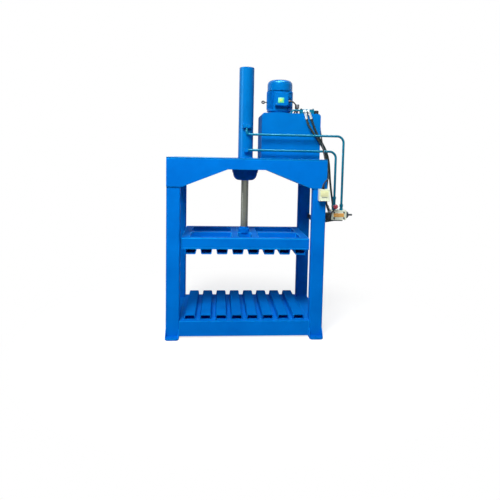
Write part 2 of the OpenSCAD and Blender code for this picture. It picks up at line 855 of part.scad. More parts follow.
// Solid form of the tank, drawn in by t on every side
module tank_form(t) {
    r = tank_bend - t;
    w = tank_w - 2 * t;
    h = tank_h - 2 * t;
    along_y(tank_y + t, tank_d - 2 * t) translate([tank_x + t, frame_h + t]) {
        square([w, h - r]);
        translate([r, 0]) square([w - 2 * r, h]);
        for (x = [r, w - r]) translate([x, h - r]) circle(r);
    }
}

module manifold_block() {
    edge = 3;
    color(TEAL) translate([block_x, block_y, tank_top]) {
        cube([block_w, block_d, block_h - edge]);
        translate([edge, edge, block_h - edge]) cube([block_w - 2 * edge, block_d - 2 * edge, edge]);
    }
}

// Pump delivery: from the pump's side, up through the tank's top and into the block
module outlet_pipe() {
    bend = 26;
    pump_side = motor_x + pump_w / 2;
    low = tank_top - pump_drop - pump_h / 2;
    high = tank_top + outlet_rise;
    color(STEEL) pipe_run([
        [pump_side, motor_y, low], [outlet_x, motor_y, low], [outlet_x, outlet_y, low],
        [outlet_x, outlet_y, high], [block_x, outlet_y, high]
    ], outlet_d / 2, [0, bend, bend, bend, 0]);
}

module breather() {
    neck_d = 24;
    neck_h = 58;
    cap_d = 42;
    cap_h = 40;
    edge = 5;
    color(DARK) translate([breather_x, breather_y, tank_top]) rotate_extrude() polygon([
        [0, 0], [neck_d / 2 + 6, 0], [neck_d / 2 + 6, 8], [neck_d / 2, 8], [neck_d / 2, neck_h],
        [cap_d / 2, neck_h],
        [cap_d / 2, neck_h + cap_h - edge], [cap_d / 2 - edge, neck_h + cap_h], [0, neck_h + cap_h]
    ]);
}

// Screw cap with a fluted rim, turning on the tank's neck
module filler_cap() {
    cap_d = filler_neck_d + 10;
    cap_h = 34;
    edge = 4;
    flutes = 16;
    flute_d = 4;
    color(DARK) translate([filler_x, filler_y, tank_top + pass_gap]) difference() {
        union() {
            cylinder(d = cap_d, h = cap_h - edge);
            translate([0, 0, cap_h - edge]) cylinder(d1 = cap_d, d2 = cap_d - 2 * edge, h = edge);
        }
        translate([0, 0, -e]) cylinder(d = filler_neck_d + 2 * run_fit, h = filler_neck_h + e);
        for (i = [0:flutes - 1]) rotate([0, 0, i * 360 / flutes])
            translate([cap_d / 2 + flute_d / 4, 0, -e]) cylinder(d = flute_d, h = cap_h + 2 * e);
    }
}

// Motor, upright on the tank

module on_motor(z) { translate([motor_x, motor_y, z]) children(); }

// Drive-end bell with its flange, bored for the lower bearing's shaft
module motor_bell() {
    flange_t = 12;
    waist = 7;
    rim_r = stator_d / 2 + fin_h - 4;
    rim_h = 20;
    bore = shaft_d / 2 + run_fit;
    color(BLUE) on_motor(tank_top) rotate_extrude() polygon([
        [bore, 0], [bell_d / 2, 0], [bell_d / 2, flange_t], [bell_d / 2 - waist, flange_t],
        [bell_d / 2 - waist, bell_h - rim_h - waist], [rim_r, bell_h - rim_h], [rim_r, bell_h],
        [rotor_d / 2 + 20, bell_h], [rotor_d / 2 + 20, flange_t + bearing_w], [bore, flange_t + bearing_w]
    ]);
}

// Finned frame with its stator bore, a flat seat for the terminal box and a boss for the lifting eye
module motor_frame() {
    open_half = 32;
    seat_w = term_w - 16;
    pitch = 360 / fin_n;
    tip = stator_d / 2 + fin_h;
    eye_boss_d = 26;
    color(BLUE) on_motor(stator_z) difference() {
        union() {
            cylinder(d = stator_d, h = stator_h);
            linear_extrude(stator_h) for (i = [0:fin_n - 1]) {
                a = i * pitch;
                if (abs(a - 270) > open_half && abs(a - 180) > 0.9 * pitch)
                    rotate(a) translate([stator_d / 2 - 2, -fin_t / 2]) square([fin_h + 2, fin_t]);
            }
            translate([-seat_w / 2, term_seat - motor_y, term_z - stator_z])
                cube([seat_w, stator_d / 4, term_h - 16]);
            along([-tip, 0, eye_h], [1, 0, 0]) cylinder(d = eye_boss_d, h = fin_h + 6);
        }
        translate([0, 0, -e]) cylinder(d = rotor_d + 4 * pass_gap, h = stator_h - bearing_w);
        translate([0, 0, -e]) cylinder(d = shaft_d + 2 * run_fit, h = stator_h + 2 * e);
    }
}

// Pressed fan cover with a round shoulder and a grille of slots in its top
module fan_cover() {
    slots = 12;
    slot_w = 7;
    slot_r0 = 26;
    slot_r1 = cowl_d / 2 - cowl_round - 6;
    color(BLUE) on_motor(cowl_z - seam_h) difference() {
        rotate_extrude() difference() {
            cowl_outline(0);
            cowl_outline(cowl_t);
        }
        for (i = [0:slots - 1]) rotate([0, 0, i * 360 / slots])
            translate([slot_r0, -slot_w / 2, cowl_h]) cube([slot_r1 - slot_r0, slot_w, 2 * seam_h]);
    }
}

// Half section of the cover, drawn in by t; the foot closes on the frame
module cowl_outline(t) {
    r = cowl_d / 2 - t;
    top = seam_h + cowl_h - t;
    round_r = cowl_round - t;
    neck = stator_d / 2 - t;
    polygon(concat(
        [[0, t == 0 ? 0 : -e], [neck, t == 0 ? 0 : -e], [neck, seam_h + t], [r, seam_h + t]],
        arc([r - round_r, top - round_r], round_r, 0, 90, 8),
        [[0, top]]
    ));
}

module terminal_box() {
    wall = 5;
    front = term_front + term_lid_t;
    depth = term_seat - front;
    color(BLUE) difference() {
        translate([motor_x - term_w / 2, front, term_z]) cube([term_w, depth, term_h]);
        translate([motor_x - term_w / 2 + wall, front - e, term_z + wall])
            cube([term_w - 2 * wall, depth - wall + e, term_h - 2 * wall]);
        translate([motor_x + term_w / 2 - wall - e, term_gland_y, term_gland_z])
            rotate([0, 90, 0]) cylinder(d = cable_d + 2 * seat_fit, h = wall + 2 * e);
    }
}

module terminal_lid() {
    edge = 5;
    color(BLUE) {
        translate([motor_x - term_w / 2, term_front + edge, term_z])
            cube([term_w, term_lid_t - edge, term_h]);
        translate([motor_x - term_w / 2 + edge, term_front, term_z + edge])
            cube([term_w - 2 * edge, edge, term_h - 2 * edge]);
    }
}

module lifting_eye() {
    ring_r = 13;
    bar_r = 7;
    stem_r = 5;
    lean = 35;
    stem_end = motor_x - stator_d / 2 - fin_h;
    eye_x = stem_end - 34;
    eye_z = stator_z + eye_h;
    color(DARK) {
        translate([eye_x, motor_y, eye_z]) rotate([90 - lean, 0, 0])
            rotate_extrude() translate([ring_r, 0]) circle(bar_r);
        translate([eye_x + ring_r, motor_y, eye_z]) rotate([0, 90, 0])
            cylinder(r = stem_r, h = stem_end - eye_x - ring_r);
    }
}

// Shaft with its rotor core, down to the pump
module motor_rotor() {
    low = pump_drop + 40;
    color(STEEL) on_motor(0) {
        translate([0, 0, tank_top - low]) cylinder(d = shaft_d, h = low + bell_h + stator_h + 60);
        translate([0, 0, stator_z + 20]) cylinder(d = rotor_d, h = rotor_l);
    }
}

module cooling_fan() {
    blades = 7;
    blade_t = 4;
    disc_t = 4;
    fan_h = 40;
    fan_r = 88;
    hub_d = 56;
    color(DARK) on_motor(stator_z + stator_h + 12) difference() {
        union() {
            cylinder(d = hub_d, h = fan_h);
            cylinder(r = fan_r, h = disc_t);
            for (i = [0:blades - 1]) rotate([0, 0, i * 360 / blades])
                translate([hub_d / 2 - 2, -blade_t / 2, disc_t / 2])
                cube([fan_r - hub_d / 2 - 2, blade_t, fan_h - disc_t]);
        }
        translate([0, 0, -e]) cylinder(d = shaft_d + 2 * seat_fit, h = fan_h + 2 * e);
    }
}

// Gear pump hung under the motor inside the tank, with its bracket and strainer
module pump() {
    strainer_d = 70;
    strainer_h = 90;
    neck_d = 34;
    neck_h = 40;
    bracket_flange = 6;
    color(STEEL) on_motor(tank_top - pump_drop) {
        difference() {
            union() {
                cylinder(d = bracket_od, h = pump_drop);
                translate([-pump_w / 2, -pump_w / 2, -pump_h]) cube([pump_w, pump_w, pump_h]);
            }
            translate([0, 0, bracket_flange]) cylinder(d = bracket_od - 2 * bracket_wall, h = pump_drop);
            translate([0, 0, -pump_h / 2]) cylinder(d = shaft_d + 2 * run_fit, h = pump_h);
        }
        translate([0, 0, -pump_h - neck_h]) cylinder(d = neck_d, h = neck_h);
        translate([0, 0, -pump_h - neck_h - strainer_h]) cylinder(d = strainer_d, h = strainer_h);
    }
}

// Oil lines

module upper_pipe() {
    start_z = upper_port - port_block_h / 2;
    small = 28;
    color(TEAL) pipe_run([
        [4, -pipe_y, start_z], [4, -pipe_y, upper_run],
        [pipe_b_x, -pipe_y, upper_run], [pipe_b_x, -pipe_y, valve_top + fitting_b_h]
    ], pipe_d / 2, [0, small, pipe_bend, 0]);
}

module lower_pipe() {
    color(TEAL) pipe_run([
        [low_block / 2, -pipe_y, lower_run], [pipe_a_x, -pipe_y, lower_run],
        [pipe_a_x, -pipe_y, valve_top + fitting_a_h]
    ], pipe_d / 2, [0, pipe_bend, 0]);
}

// Couplings between the pipes and the valve: a nut over a shouldered adaptor
module pipe_fittings() {
    nut_l = 26;
    for (f = [[pipe_a_x, fitting_a_h], [pipe_b_x, fitting_b_h]])
        color(STEEL) translate([f[0], -pipe_y, valve_top]) {
            cylinder(d = pipe_d + 4, h = f[1] - nut_l);
            cylinder(d = fitting_af / cos(30), h = 14, $fn = 6);
            translate([0, 0, f[1] - nut_l]) cylinder(d = fitting_af / cos(30), h = nut_l, $fn = 6);
        }
}

// Hose end: a nipple along -Y out of its seat, an elbow, and a crimped ferrule that points down
module hose_end(nipple) {
    along([0, nipple, 0], [0, -1, 0]) cylinder(d = elbow_d - 6, h = nipple);
    along([0, nipple, 0], [0, -1, 0]) cylinder(d = hose_nut_af / cos(30), h = 10, $fn = 6);
    sphere(d = elbow_d);
    translate([0, 0, -elbow_drop]) cylinder(d = elbow_d - 6, h = elbow_drop);
    translate([0, 0, -elbow_drop - 12]) cylinder(d = hose_nut_af / cos(30), h = 12, $fn = 6);
    translate([0, 0, -elbow_drop - ferrule_l]) cylinder(d = ferrule_d, h = ferrule_l - 12);
}

module hose_ends() {
    reach = block_y - hose_top_y;
    color(STEEL) {
        translate([hose_a_top_x, hose_top_y, hose_top_z]) rotate([0, -hose_a_tilt, 0]) hose_end(reach);
        translate([hose_b_top_x, hose_top_y, hose_top_z]) rotate([0, -hose_b_tilt, 0]) hose_end(reach);
        for (end = [[hose_a_low_x, hose_a_low_tilt], [hose_b_low_x, hose_b_low_tilt]])
            translate([end[0], hose_low_y, valve_mid]) rotate([0, -end[1], 0]) rotate([180, 0, 0])
                hose_end(hose_low_y - valve_d / 2 + pipe_y);
    }
}

module hose_pressure() { color(DARK) swept_cord(hose_pressure_route, hose_d, hose_sides); }
module hose_return() { color(DARK) swept_cord(hose_return_route, hose_d, hose_sides); }
module motor_cable() { color(DARK) swept_cord(cable_route, cable_d, cable_sides); }

// Compression glands of the motor cable, on the terminal box and on the starter
module cable_gland() {
    difference() {
        union() {
            cylinder(d = gland_nut_af / cos(30), h = gland_nut_h, $fn = 6);
            cylinder(d = gland_nut_af - 4, h = gland_nut_h + gland_tail);
        }
        translate([0, 0, -e]) cylinder(d = cable_d + 2 * seat_fit, h = gland_nut_h + gland_tail + 2 * e);
    }
}
module cable_glands() {
    color(DARK) {
        along([motor_x + term_w / 2, term_gland_y, term_gland_z], [1, 0, 0]) cable_gland();
        translate([starter_x + starter_gland_x, -post_y - starter_gland_y, starter_z + starter_h])
            cable_gland();
    }
}

// Starter: an open tray on the post's face
module starter_box() {
    wall = 3;
    deep = starter_d - starter_cover_t;
    color(CREAM) difference() {
        translate([starter_x, -post_y - deep, starter_z]) cube([starter_w, deep, starter_h]);
        translate([starter_x + wall, -post_y - deep - e, starter_z + wall])
            cube([starter_w - 2 * wall, deep - wall + e, starter_h - 2 * wall]);
        translate([starter_x + starter_gland_x, -post_y - starter_gland_y, starter_z + starter_h - 2 * wall])
            cylinder(d = cable_d + 2 * seat_fit, h = 3 * wall);
    }
}

// Cover of the starter, with eased edges, a sunk panel and a groove across it
module starter_cover() {
    edge = 4;
    panel_in = 9;
    panel_deep = 3;
    groove_z = 31;
    groove_h = 5;
    front = -post_y - starter_d;
    color(CREAM) difference() {
        union() {
            translate([starter_x, front + edge, starter_z])
                cube([starter_w, starter_cover_t - edge, starter_h]);
            translate([starter_x + edge, front, starter_z + edge])
                cube([starter_w - 2 * edge, edge, starter_h - 2 * edge]);
        }
        translate([starter_x + panel_in, front - e, starter_z + panel_in])
            cube([starter_w - 2 * panel_in, panel_deep + e, starter_h - 2 * panel_in]);
        translate([starter_x + 2 * panel_in, front - e, starter_z + groove_z])
            cube([starter_w - 4 * panel_in, panel_deep + 2 * e, groove_h]);
    }
}

// Valve

// Shelf for the valve, with its gusset and the rail between the right-hand posts
module valve_bracket() {
    t = 10;
    rail_h = 45;
    side = frame_w / 2 - post_corner;
    rail_y = post_y - post_d;
    shelf_reach = 108;
    shelf_end = valve_x + shelf_reach;
    color(DARK) {
        translate([side - t, -rail_y, valve_z - rail_h]) cube([t, 2 * rail_y, rail_h]);
        translate([side - e, -pipe_y - valve_d / 2, valve_z - t]) cube([shelf_end - side + e, valve_d, t]);
        along_y(-pipe_y - t / 2, t) polygon([
            [side - e, valve_z - t - e + 2], [side - e, valve_z - rail_h], [side + t, valve_z - rail_h],
            [shelf_end - 40, valve_z - t], [shelf_end - 40, valve_z - t - e + 2]
        ]);
    }
}

// Screws in the corners of the valve's front
module valve_corner_screws() {
    in_x = 25;
    in_z = 18;
    for (x = [valve_x + in_x, valve_x + valve_w - in_x], z = [valve_z + in_z, valve_top - in_z])
        along([x, -pipe_y - valve_d / 2, z], [0, 1, 0]) children();
}

// Valve body with eased edges, bored for the spool and drilled for its four ports
module valve_body() {
    ease = 4;
    drill = 12;
    right = valve_x + valve_w;
    color(CREAM) difference() {
        along_y(-pipe_y - valve_d / 2, valve_d) polygon([
            [valve_x, valve_z], [right - ease, valve_z], [right, valve_z + ease], [right, valve_top - ease],
            [right - ease, valve_top], [valve_x + ease, valve_top], [valve_x, valve_top - ease]
        ]);
        along([valve_x - e, -pipe_y, valve_mid], [1, 0, 0])
            cylinder(d = spool_d + 2 * run_fit, h = valve_w + 2 * e);
        for (x = [pipe_a_x, pipe_b_x]) translate([x, -pipe_y, valve_mid]) cylinder(d = drill, h = valve_h);
        for (x = [hose_a_low_x, hose_b_low_x]) along([x, -pipe_y, valve_mid], [0, 1, 0])
            cylinder(d = drill, h = valve_d);
        valve_corner_screws() translate([0, 0, -e])
            cylinder(d = screw_d + 2 * seat_fit, h = screw_l + 2 * e);
    }
}

module valve_screws() {
    head_d = 14;
    head_h = 7;
    color(DARK) valve_corner_screws() {
        cylinder(d = screw_d, h = screw_l);
        translate([0, 0, -head_h]) cylinder(d = head_d, h = head_h);
    }
}

// Bell-shaped cap over the spool's right end, with an adjusting stem
module valve_end_cap() {
    room_r = 14;
    room_l = 22;
    bell_r = 34;
    bell_l = 31;
    stem_r = 9;
    stem_l = 66;
    lip = 7;
    ease = 2;
    bell = [for (i = [0:6]) [stem_r + (bell_r - stem_r) * cos(i * 15), lip + (bell_l - lip) * sin(i * 15)]];
    color(DARK) along([valve_x + valve_w, -pipe_y, valve_mid], [1, 0, 0]) rotate_extrude() polygon(concat(
        [[room_r, 0], [bell_r, 0]], bell,
        [[stem_r, stem_l - ease], [stem_r - ease, stem_l], [0, stem_l], [0, room_l], [room_r, room_l]]
    ));
}

// Housing of the lever's crank, open towards the valve
module lever_housing() {
    left = valve_x - housing_w;
    bore = pivot_d + 2 * run_fit;
    color(DARK) difference() {
        along_y(-pipe_y - housing_d / 2, housing_d) polygon([
            [left + 6, valve_z], [valve_x, valve_z], [valve_x, valve_z + housing_h],
            [left + 14, valve_z + housing_h],
            [left, valve_z + housing_h - 14], [left, valve_z + 6]
        ]);
        translate([left + housing_wall, -pipe_y - housing_d / 2 + housing_wall, valve_z + housing_wall])
            cube([housing_w - housing_wall + e, housing_d - 2 * housing_wall, housing_h - 2 * housing_wall]);
        along([pivot_x, -pipe_y - housing_d / 2 - e, pivot_z], [0, 1, 0])
            cylinder(d = bore, h = housing_d - 1);
    }
}

// Spool with its lands; a slot near the left end takes the tip of the crank
module valve_spool() {
    r = spool_d / 2;
    neck = r - 3;
    tail = 18;
    l = valve_x + valve_w + 14 - pivot_x + tail;
    a = 62;
    b = 128;
    w = 26;
    color(STEEL) difference() {
        along([pivot_x - tail, -pipe_y, valve_mid], [1, 0, 0]) rotate_extrude() polygon([
            [0, 0], [r - 1, 0], [r, 1], [r, a], [neck, a], [neck, a + w], [r, a + w], [r, b], [neck, b],
            [neck, b + w],
            [r, b + w], [r, l - 1], [r - 1, l], [0, l]
        ]);
        translate([pivot_x - slot_w / 2, -pipe_y - spool_d, valve_mid - spool_d])
            cube([slot_w, 2 * spool_d, spool_d + slot_up]);
    }
}

// Hand lever on its pivot shaft, with the crank that works the spool
module lever_arm() {
    hub_d = 24;
    hub_l = 18;
    arm_d = 11;
    neck = 5;
    crank_t = 10;
    shaft_end = -pipe_y + housing_d / 2 - 4;
    hub_y = -lever_y - hub_l / 2;
    color(STEEL) {
        along([pivot_x, hub_y, pivot_z], [0, 1, 0]) {
            cylinder(d = pivot_d, h = shaft_end - hub_y);
            cylinder(d = hub_d, h = hub_l);
        }
        along([pivot_x, -lever_y, pivot_z], lever_dir) cylinder(d = arm_d, h = lever_l);
        translate([pivot_x - neck / 2, -pipe_y - crank_t / 2, pivot_z]) cube([neck, crank_t, crank_l]);
        along([pivot_x, -pipe_y - crank_t / 2, valve_mid], [0, 1, 0]) cylinder(d = tip_d, h = crank_t);
    }
}

module lever_knob() {
    arm_d = 11;
    color([0.85, 0.1, 0.08]) translate([pivot_x, -lever_y, pivot_z]) difference() {
        translate(lever_l * lever_dir) sphere(d = knob_d);
        along([0, 0, 0], lever_dir) cylinder(d = arm_d + 2 * seat_fit, h = lever_l + seat_fit);
    }
}

front_posts();
rear_posts();
feet();
base_beams();
base_sills();
bed_bearers();
bed_plate();
bed_ribs();
crown_webs();
crown_top_plate();
crown_soffit();
crown_plates();
cylinder_tube();
cylinder_cap();
gland_housing();
gland_bush();
wiper_ring();
gland_bolts();
port_blocks();
piston();
piston_seal();
piston_nut();
ram_rod();
rod_socket();
platen_frame();
platen_plate();
platen_pad();
platen_ribs();
tank();
manifold_block();
outlet_pipe();
breather();
filler_cap();
motor_bell();
motor_frame();
fan_cover();
terminal_box();
terminal_lid();
lifting_eye();
motor_rotor();
cooling_fan();
pump();
upper_pipe();
lower_pipe();
pipe_fittings();
hose_ends();
hose_pressure();
hose_return();
motor_cable();
cable_glands();
starter_box();
starter_cover();
valve_bracket();
valve_body();
valve_end_cap();
valve_screws();
lever_housing();
valve_spool();
lever_arm();
lever_knob();
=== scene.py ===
import json
from math import cos, sin

import bmesh
import bpy
import numpy as np
from mathutils import Matrix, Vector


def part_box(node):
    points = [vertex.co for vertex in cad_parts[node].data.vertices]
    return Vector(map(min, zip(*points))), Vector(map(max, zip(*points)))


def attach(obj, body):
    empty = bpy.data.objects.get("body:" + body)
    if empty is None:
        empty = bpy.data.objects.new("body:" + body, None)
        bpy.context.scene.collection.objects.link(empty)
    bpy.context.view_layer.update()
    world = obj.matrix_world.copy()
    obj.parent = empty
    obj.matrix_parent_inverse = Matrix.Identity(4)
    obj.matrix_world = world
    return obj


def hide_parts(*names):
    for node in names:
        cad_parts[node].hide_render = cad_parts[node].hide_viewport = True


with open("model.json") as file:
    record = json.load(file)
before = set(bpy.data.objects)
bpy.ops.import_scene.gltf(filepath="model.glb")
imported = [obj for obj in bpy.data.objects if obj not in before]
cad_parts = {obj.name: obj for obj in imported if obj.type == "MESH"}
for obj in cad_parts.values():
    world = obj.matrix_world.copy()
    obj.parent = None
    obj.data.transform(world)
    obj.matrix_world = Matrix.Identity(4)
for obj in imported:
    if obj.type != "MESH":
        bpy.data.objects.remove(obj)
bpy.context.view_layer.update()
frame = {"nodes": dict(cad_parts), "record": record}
scene = bpy.context.scene
nodes = frame["nodes"]
MM = 0.001
FULL_TURN = 2 * np.pi
FRONT = (0, -1, 0)
UP = (0, 0, 1)


# Colours and shader nodes

def linear(hex_colour, alpha=1.0):
    """sRGB hex to linear RGBA: the usual two-part sRGB curve."""
    c = np.array([int(hex_colour[i:i + 2], 16) for i in (1, 3, 5)]) / 255.0
    c = np.where(c <= 0.04045, c / 12.92, ((c + 0.055) / 1.055) ** 2.4)
    return (*c.tolist(), alpha)


def grey(value):
    """One linear value in all three channels, opaque."""
    return (value, value, value, 1.0)


def per_metre(size):
    """Noise scale for features of a size in millimetres: how many of them fit in one metre."""
    return 1000.0 / size


def add(tree, kind, settings=None, inputs=None, stops=(), feeds=None, **links):
    """Adds one node: settings are attributes, inputs are values by socket, stops are ramp colours.

    Each link is socket=(node, output), and feeds is the (output, node, socket) that the new node goes to.
    A socket that is known by its number is written _0, _1 and so on.
    """
    made = tree.nodes.new(kind)
    for key, value in (settings or {}).items():
        setattr(made, key, value)
    for key, value in (inputs or {}).items():
        made.inputs[key].default_value = value
    for i, (place, colour) in enumerate(stops):
        band = made.color_ramp.elements
        element = band[i] if i < len(band) else band.new(place)
        element.position = place
        element.color = colour
    for key, (source, output) in links.items():
        socket = int(key[1:]) if key[0] == "_" else key
        tree.links.new(source.outputs[output], made.inputs[socket])
    if feeds:
        output, target, socket = feeds
        tree.links.new(made.outputs[output], target.inputs[socket])
    return made


def start(name):
    """New material: returns it with its tree, its Principled shader and its coordinates."""
    made = bpy.data.materials.new(name)
    made.use_nodes = True
    tree = made.node_tree
    shader = next(n for n in tree.nodes if n.type == "BSDF_PRINCIPLED")
    place = add(tree, "ShaderNodeTexCoord")
    return made, tree, shader, place


def enamel(name, light, dark, rough=(0.42, 0.55), shine=0.3, peel=0.05, tint="#FFFFFF"):
    """Sprayed enamel on steel: drifts of tone, patches of gloss and a faint orange peel, all as noise."""
    made, tree, shader, place = start(name)
    # Overlapping passes of the gun leave drifts of tone about 310 mm across
    drift = add(tree, "ShaderNodeTexNoise", {}, {"Scale": per_metre(312.5), "Detail": 4.0, "Roughness": 0.55},
                Vector=(place, "Object"))
    add(tree, "ShaderNodeValToRGB", stops=[(0.3, linear(dark)), (0.7, linear(light))],
        feeds=("Color", shader, "Base Color"), Fac=(drift, "Fac"))
    # Wiped and handled patches are about a palm wide
    sheen = add(tree, "ShaderNodeTexNoise", {}, {"Scale": per_metre(71.43), "Detail": 5.0},
                Vector=(place, "Object"))
    add(tree, "ShaderNodeValToRGB", stops=[(0.35, grey(rough[0])), (0.7, grey(rough[1]))],
        feeds=("Color", shader, "Roughness"), Fac=(sheen, "Fac"))
    # Orange peel is about 2 mm from crest to crest; drawn at about 6 mm so that it shows
    crests = add(tree, "ShaderNodeTexNoise", {}, {"Scale": per_metre(6.25), "Detail": 2.0},
                 Vector=(place, "Object"))
    add(tree, "ShaderNodeBump", {}, {"Strength": peel, "Distance": 2.0 * MM},
        feeds=("Normal", shader, "Normal"), Height=(crests, "Fac"))
    shader.inputs["Specular IOR Level"].default_value = shine
    shader.inputs["Specular Tint"].default_value = linear(tint)
    shader.inputs["IOR"].default_value = 1.5
    return made


def metal(name, light, dark, rough=(0.18, 0.32), marks=(25.0, 25.0, 1.111), strength=0.04):
    """Worked metal: marks of a size in X, Y and Z in millimetres, as stretched noise in tone, gloss and bump.

    Turning marks are 25 mm long. They are about 0.3 mm apart and are drawn at 1.1 mm so that they show.
    """
    made, tree, shader, place = start(name)
    laid = add(tree, "ShaderNodeMapping", {}, {"Scale": tuple(per_metre(size) for size in marks)},
               Vector=(place, "Object"))
    worked = add(tree, "ShaderNodeTexNoise", {}, {"Scale": 1.0, "Detail": 4.0}, Vector=(laid, "Vector"))
    add(tree, "ShaderNodeValToRGB", stops=[(0.3, linear(dark)), (0.7, linear(light))],
        feeds=("Color", shader, "Base Color"), Fac=(worked, "Fac"))
    add(tree, "ShaderNodeValToRGB", stops=[(0.3, grey(rough[0])), (0.7, grey(rough[1]))],
        feeds=("Color", shader, "Roughness"), Fac=(worked, "Fac"))
    add(tree, "ShaderNodeBump", {}, {"Strength": strength, "Distance": 1.0 * MM},
        feeds=("Normal", shader, "Normal"), Height=(worked, "Fac"))
    shader.inputs["Metallic"].default_value = 1.0
    return made


def moulded(name, light, dark, rough=(0.35, 0.55), grain=2.5, strength=0.12, shine=0.5):
    """Moulded plastic, rubber or film: clouds of tone and gloss, and a grain of a size in millimetres.

    The grain of such a mould is under 1 mm and is drawn coarser so that it shows.
    """
    made, tree, shader, place = start(name)
    # The melt cools in clouds about 45 mm across
    clouds = add(tree, "ShaderNodeTexNoise", {}, {"Scale": per_metre(45.45), "Detail": 4.0},
                 Vector=(place, "Object"))
    add(tree, "ShaderNodeValToRGB", stops=[(0.3, linear(dark)), (0.7, linear(light))],
        feeds=("Color", shader, "Base Color"), Fac=(clouds, "Fac"))
    add(tree, "ShaderNodeValToRGB", stops=[(0.3, grey(rough[0])), (0.7, grey(rough[1]))],
        feeds=("Color", shader, "Roughness"), Fac=(clouds, "Fac"))
    pores = add(tree, "ShaderNodeTexNoise", {}, {"Scale": per_metre(grain), "Detail": 2.0},
                Vector=(place, "Object"))
    add(tree, "ShaderNodeBump", {}, {"Strength": strength, "Distance": 0.8 * MM},
        feeds=("Normal", shader, "Normal"), Height=(pores, "Fac"))
    shader.inputs["Specular IOR Level"].default_value = shine
    shader.inputs["IOR"].default_value = 1.5
    return made


def wrapped_rubber(name, light, dark):
    """Hose cover cured in a cloth wrap: one slanting band to a turn, every 28 mm along the tube's own UV map.

    The map runs from 0 to 1 round the hose and in metres along it, and a wave counts ten radians to a unit.
    """
    made, tree, shader, _ = start(name)
    along = add(tree, "ShaderNodeUVMap", {"uv_map": "along"})
    lay = add(tree, "ShaderNodeMapping", {}, {"Scale": (1.0, per_metre(27.78), 1.0)}, Vector=(along, "UV"))
    band = add(tree, "ShaderNodeTexWave",
               {"wave_type": "BANDS", "bands_direction": "DIAGONAL", "wave_profile": "SAW"},
               {"Scale": FULL_TURN / 10, "Distortion": 0.0}, Vector=(lay, "Vector"))
    add(tree, "ShaderNodeValToRGB", stops=[(0.0, linear(dark)), (0.9, linear(light)), (1.0, linear(dark))],
        feeds=("Color", shader, "Base Color"), Fac=(band, "Fac"))
    add(tree, "ShaderNodeBump", {}, {"Strength": 0.25, "Distance": 0.8 * MM},
        feeds=("Normal", shader, "Normal"), Height=(band, "Fac"))
    shader.inputs["Roughness"].default_value = 0.55
    shader.inputs["Specular IOR Level"].default_value = 0.25
    shader.inputs["IOR"].default_value = 1.52
    return made


# Sprayed on welded plate: broad even blue faces with hardly a reflection
BLUE = enamel("blue_enamel", "#007ADE", "#006CCE", rough=(0.62, 0.74), shine=0.06, tint="#2FA8E8")
# Sprayed on smooth round housings: sharp pale highlights on the motor and its cowl
GLOSS = enamel("gloss_blue_enamel", "#0078C8", "#006AB8", rough=(0.22, 0.3), shine=0.4, tint="#2FC0F0")
# Sprayed on drawn tube: one soft light band down the cylinder
SATIN = enamel("satin_blue_enamel", "#0078C6", "#006AB6", rough=(0.34, 0.44), shine=0.2, tint="#2FC0F0")
# Another batch on the tank and terminal box: as flat as the frame's, a little greener
POWER = enamel("power_unit_enamel", "#007ACF", "#006CBF", rough=(0.62, 0.74), shine=0.06, tint="#2FA8E8")
# Darker enamel on the gland housing: painted shade for the crown's shadow over it
PAINTED_SHADE = enamel("painted_shade_enamel", "#0058A8", "#004C9A", rough=(0.6, 0.72), shine=0.06, tint="#2FA8E8")
# Enamel rubbed by the work: chalky ribs with no highlight at all
RUBBED = enamel("rubbed_enamel", "#007AD8", "#0066C0", rough=(0.75, 0.9), shine=0.03, peel=0.08,
                tint="#2FA8E8")
# Lighter enamel on the bevelled edges: a painted highlight, a fine light line round each plate
EDGE_HIGHLIGHT = enamel("edge_highlight_enamel", "#109EEE", "#048CE2", rough=(0.55, 0.7), shine=0.08, tint="#2FC0F0")
# Brushed gloss on pipes and their block: dark green-blue lines with a bright thread of light
TEAL = enamel("teal_enamel", "#0A7896", "#056480", rough=(0.2, 0.3), shine=0.5, tint="#60C8E8")
# Stoved on small housings: the palest spots on the press, softly shaded
CREAM = enamel("cream_enamel", "#F2F8DE", "#E6EED0")
# Stoved on brackets: plain dark shapes that set off the valve
DARK = enamel("dark_enamel", "#36444A", "#263238")
# Ground, chromed and filmed with oil: a smooth grey column that shades off to its sides
CHROME = metal("ground_chrome", "#80847B", "#6C7067", rough=(0.3, 0.4), strength=0.004)
# Turned steel: bright, with fine rings that break up reflections
MACHINED = metal("machined_steel", "#B9BCC0", "#989CA1")
# Zinc plate: pale and faintly cloudy; its clouds are about 2 mm and are drawn at 8 mm so that they show
ZINC = metal("zinc_plate", "#C4C8C8", "#A4AAAC", rough=(0.32, 0.46), marks=(8.333, 8.333, 8.333))
# Oil-blackened steel: nearly black with a dull sheen, in blotches of about 6 mm
BLACKED = metal("blackened_steel", "#3C3D40", "#252629", rough=(0.35, 0.5), marks=(6.25, 6.25, 6.25))
# Sand-cast iron: dull grey and pitted; sand grain is under 1 mm and is drawn at 11 mm so that it shows
CAST = metal("cast_iron", "#6A6C70", "#4C4E52", rough=(0.5, 0.7), marks=(11.11, 11.11, 11.11), strength=0.2)
# Turned bronze: warm brown-gold rings
BRONZE = metal("turned_bronze", "#C79A55", "#A67A3C")
# Moulded rubber: deep matt black
RUBBER = moulded("moulded_rubber", "#242624", "#151615", rough=(0.5, 0.7))
# Hose rubber cured in cloth: green-black, with slanting bands
HOSE = wrapped_rubber("wrapped_rubber", "#27403F", "#122324")
# Extruded sheath: an even soft black
SHEATH = moulded("cable_sheath", "#1A2026", "#0E1216", rough=(0.5, 0.65), grain=4.0, shine=0.2)
# Moulded nylon: black with a faint sheen
PLASTIC = moulded("black_plastic", "#1C1D20", "#111214", rough=(0.4, 0.55), shine=0.3)
# Moulded phenolic: a polished red ball with one small highlight
RED = moulded("red_phenolic", "#D8344C", "#BC1E38", rough=(0.12, 0.2), grain=8.333, strength=0.03)
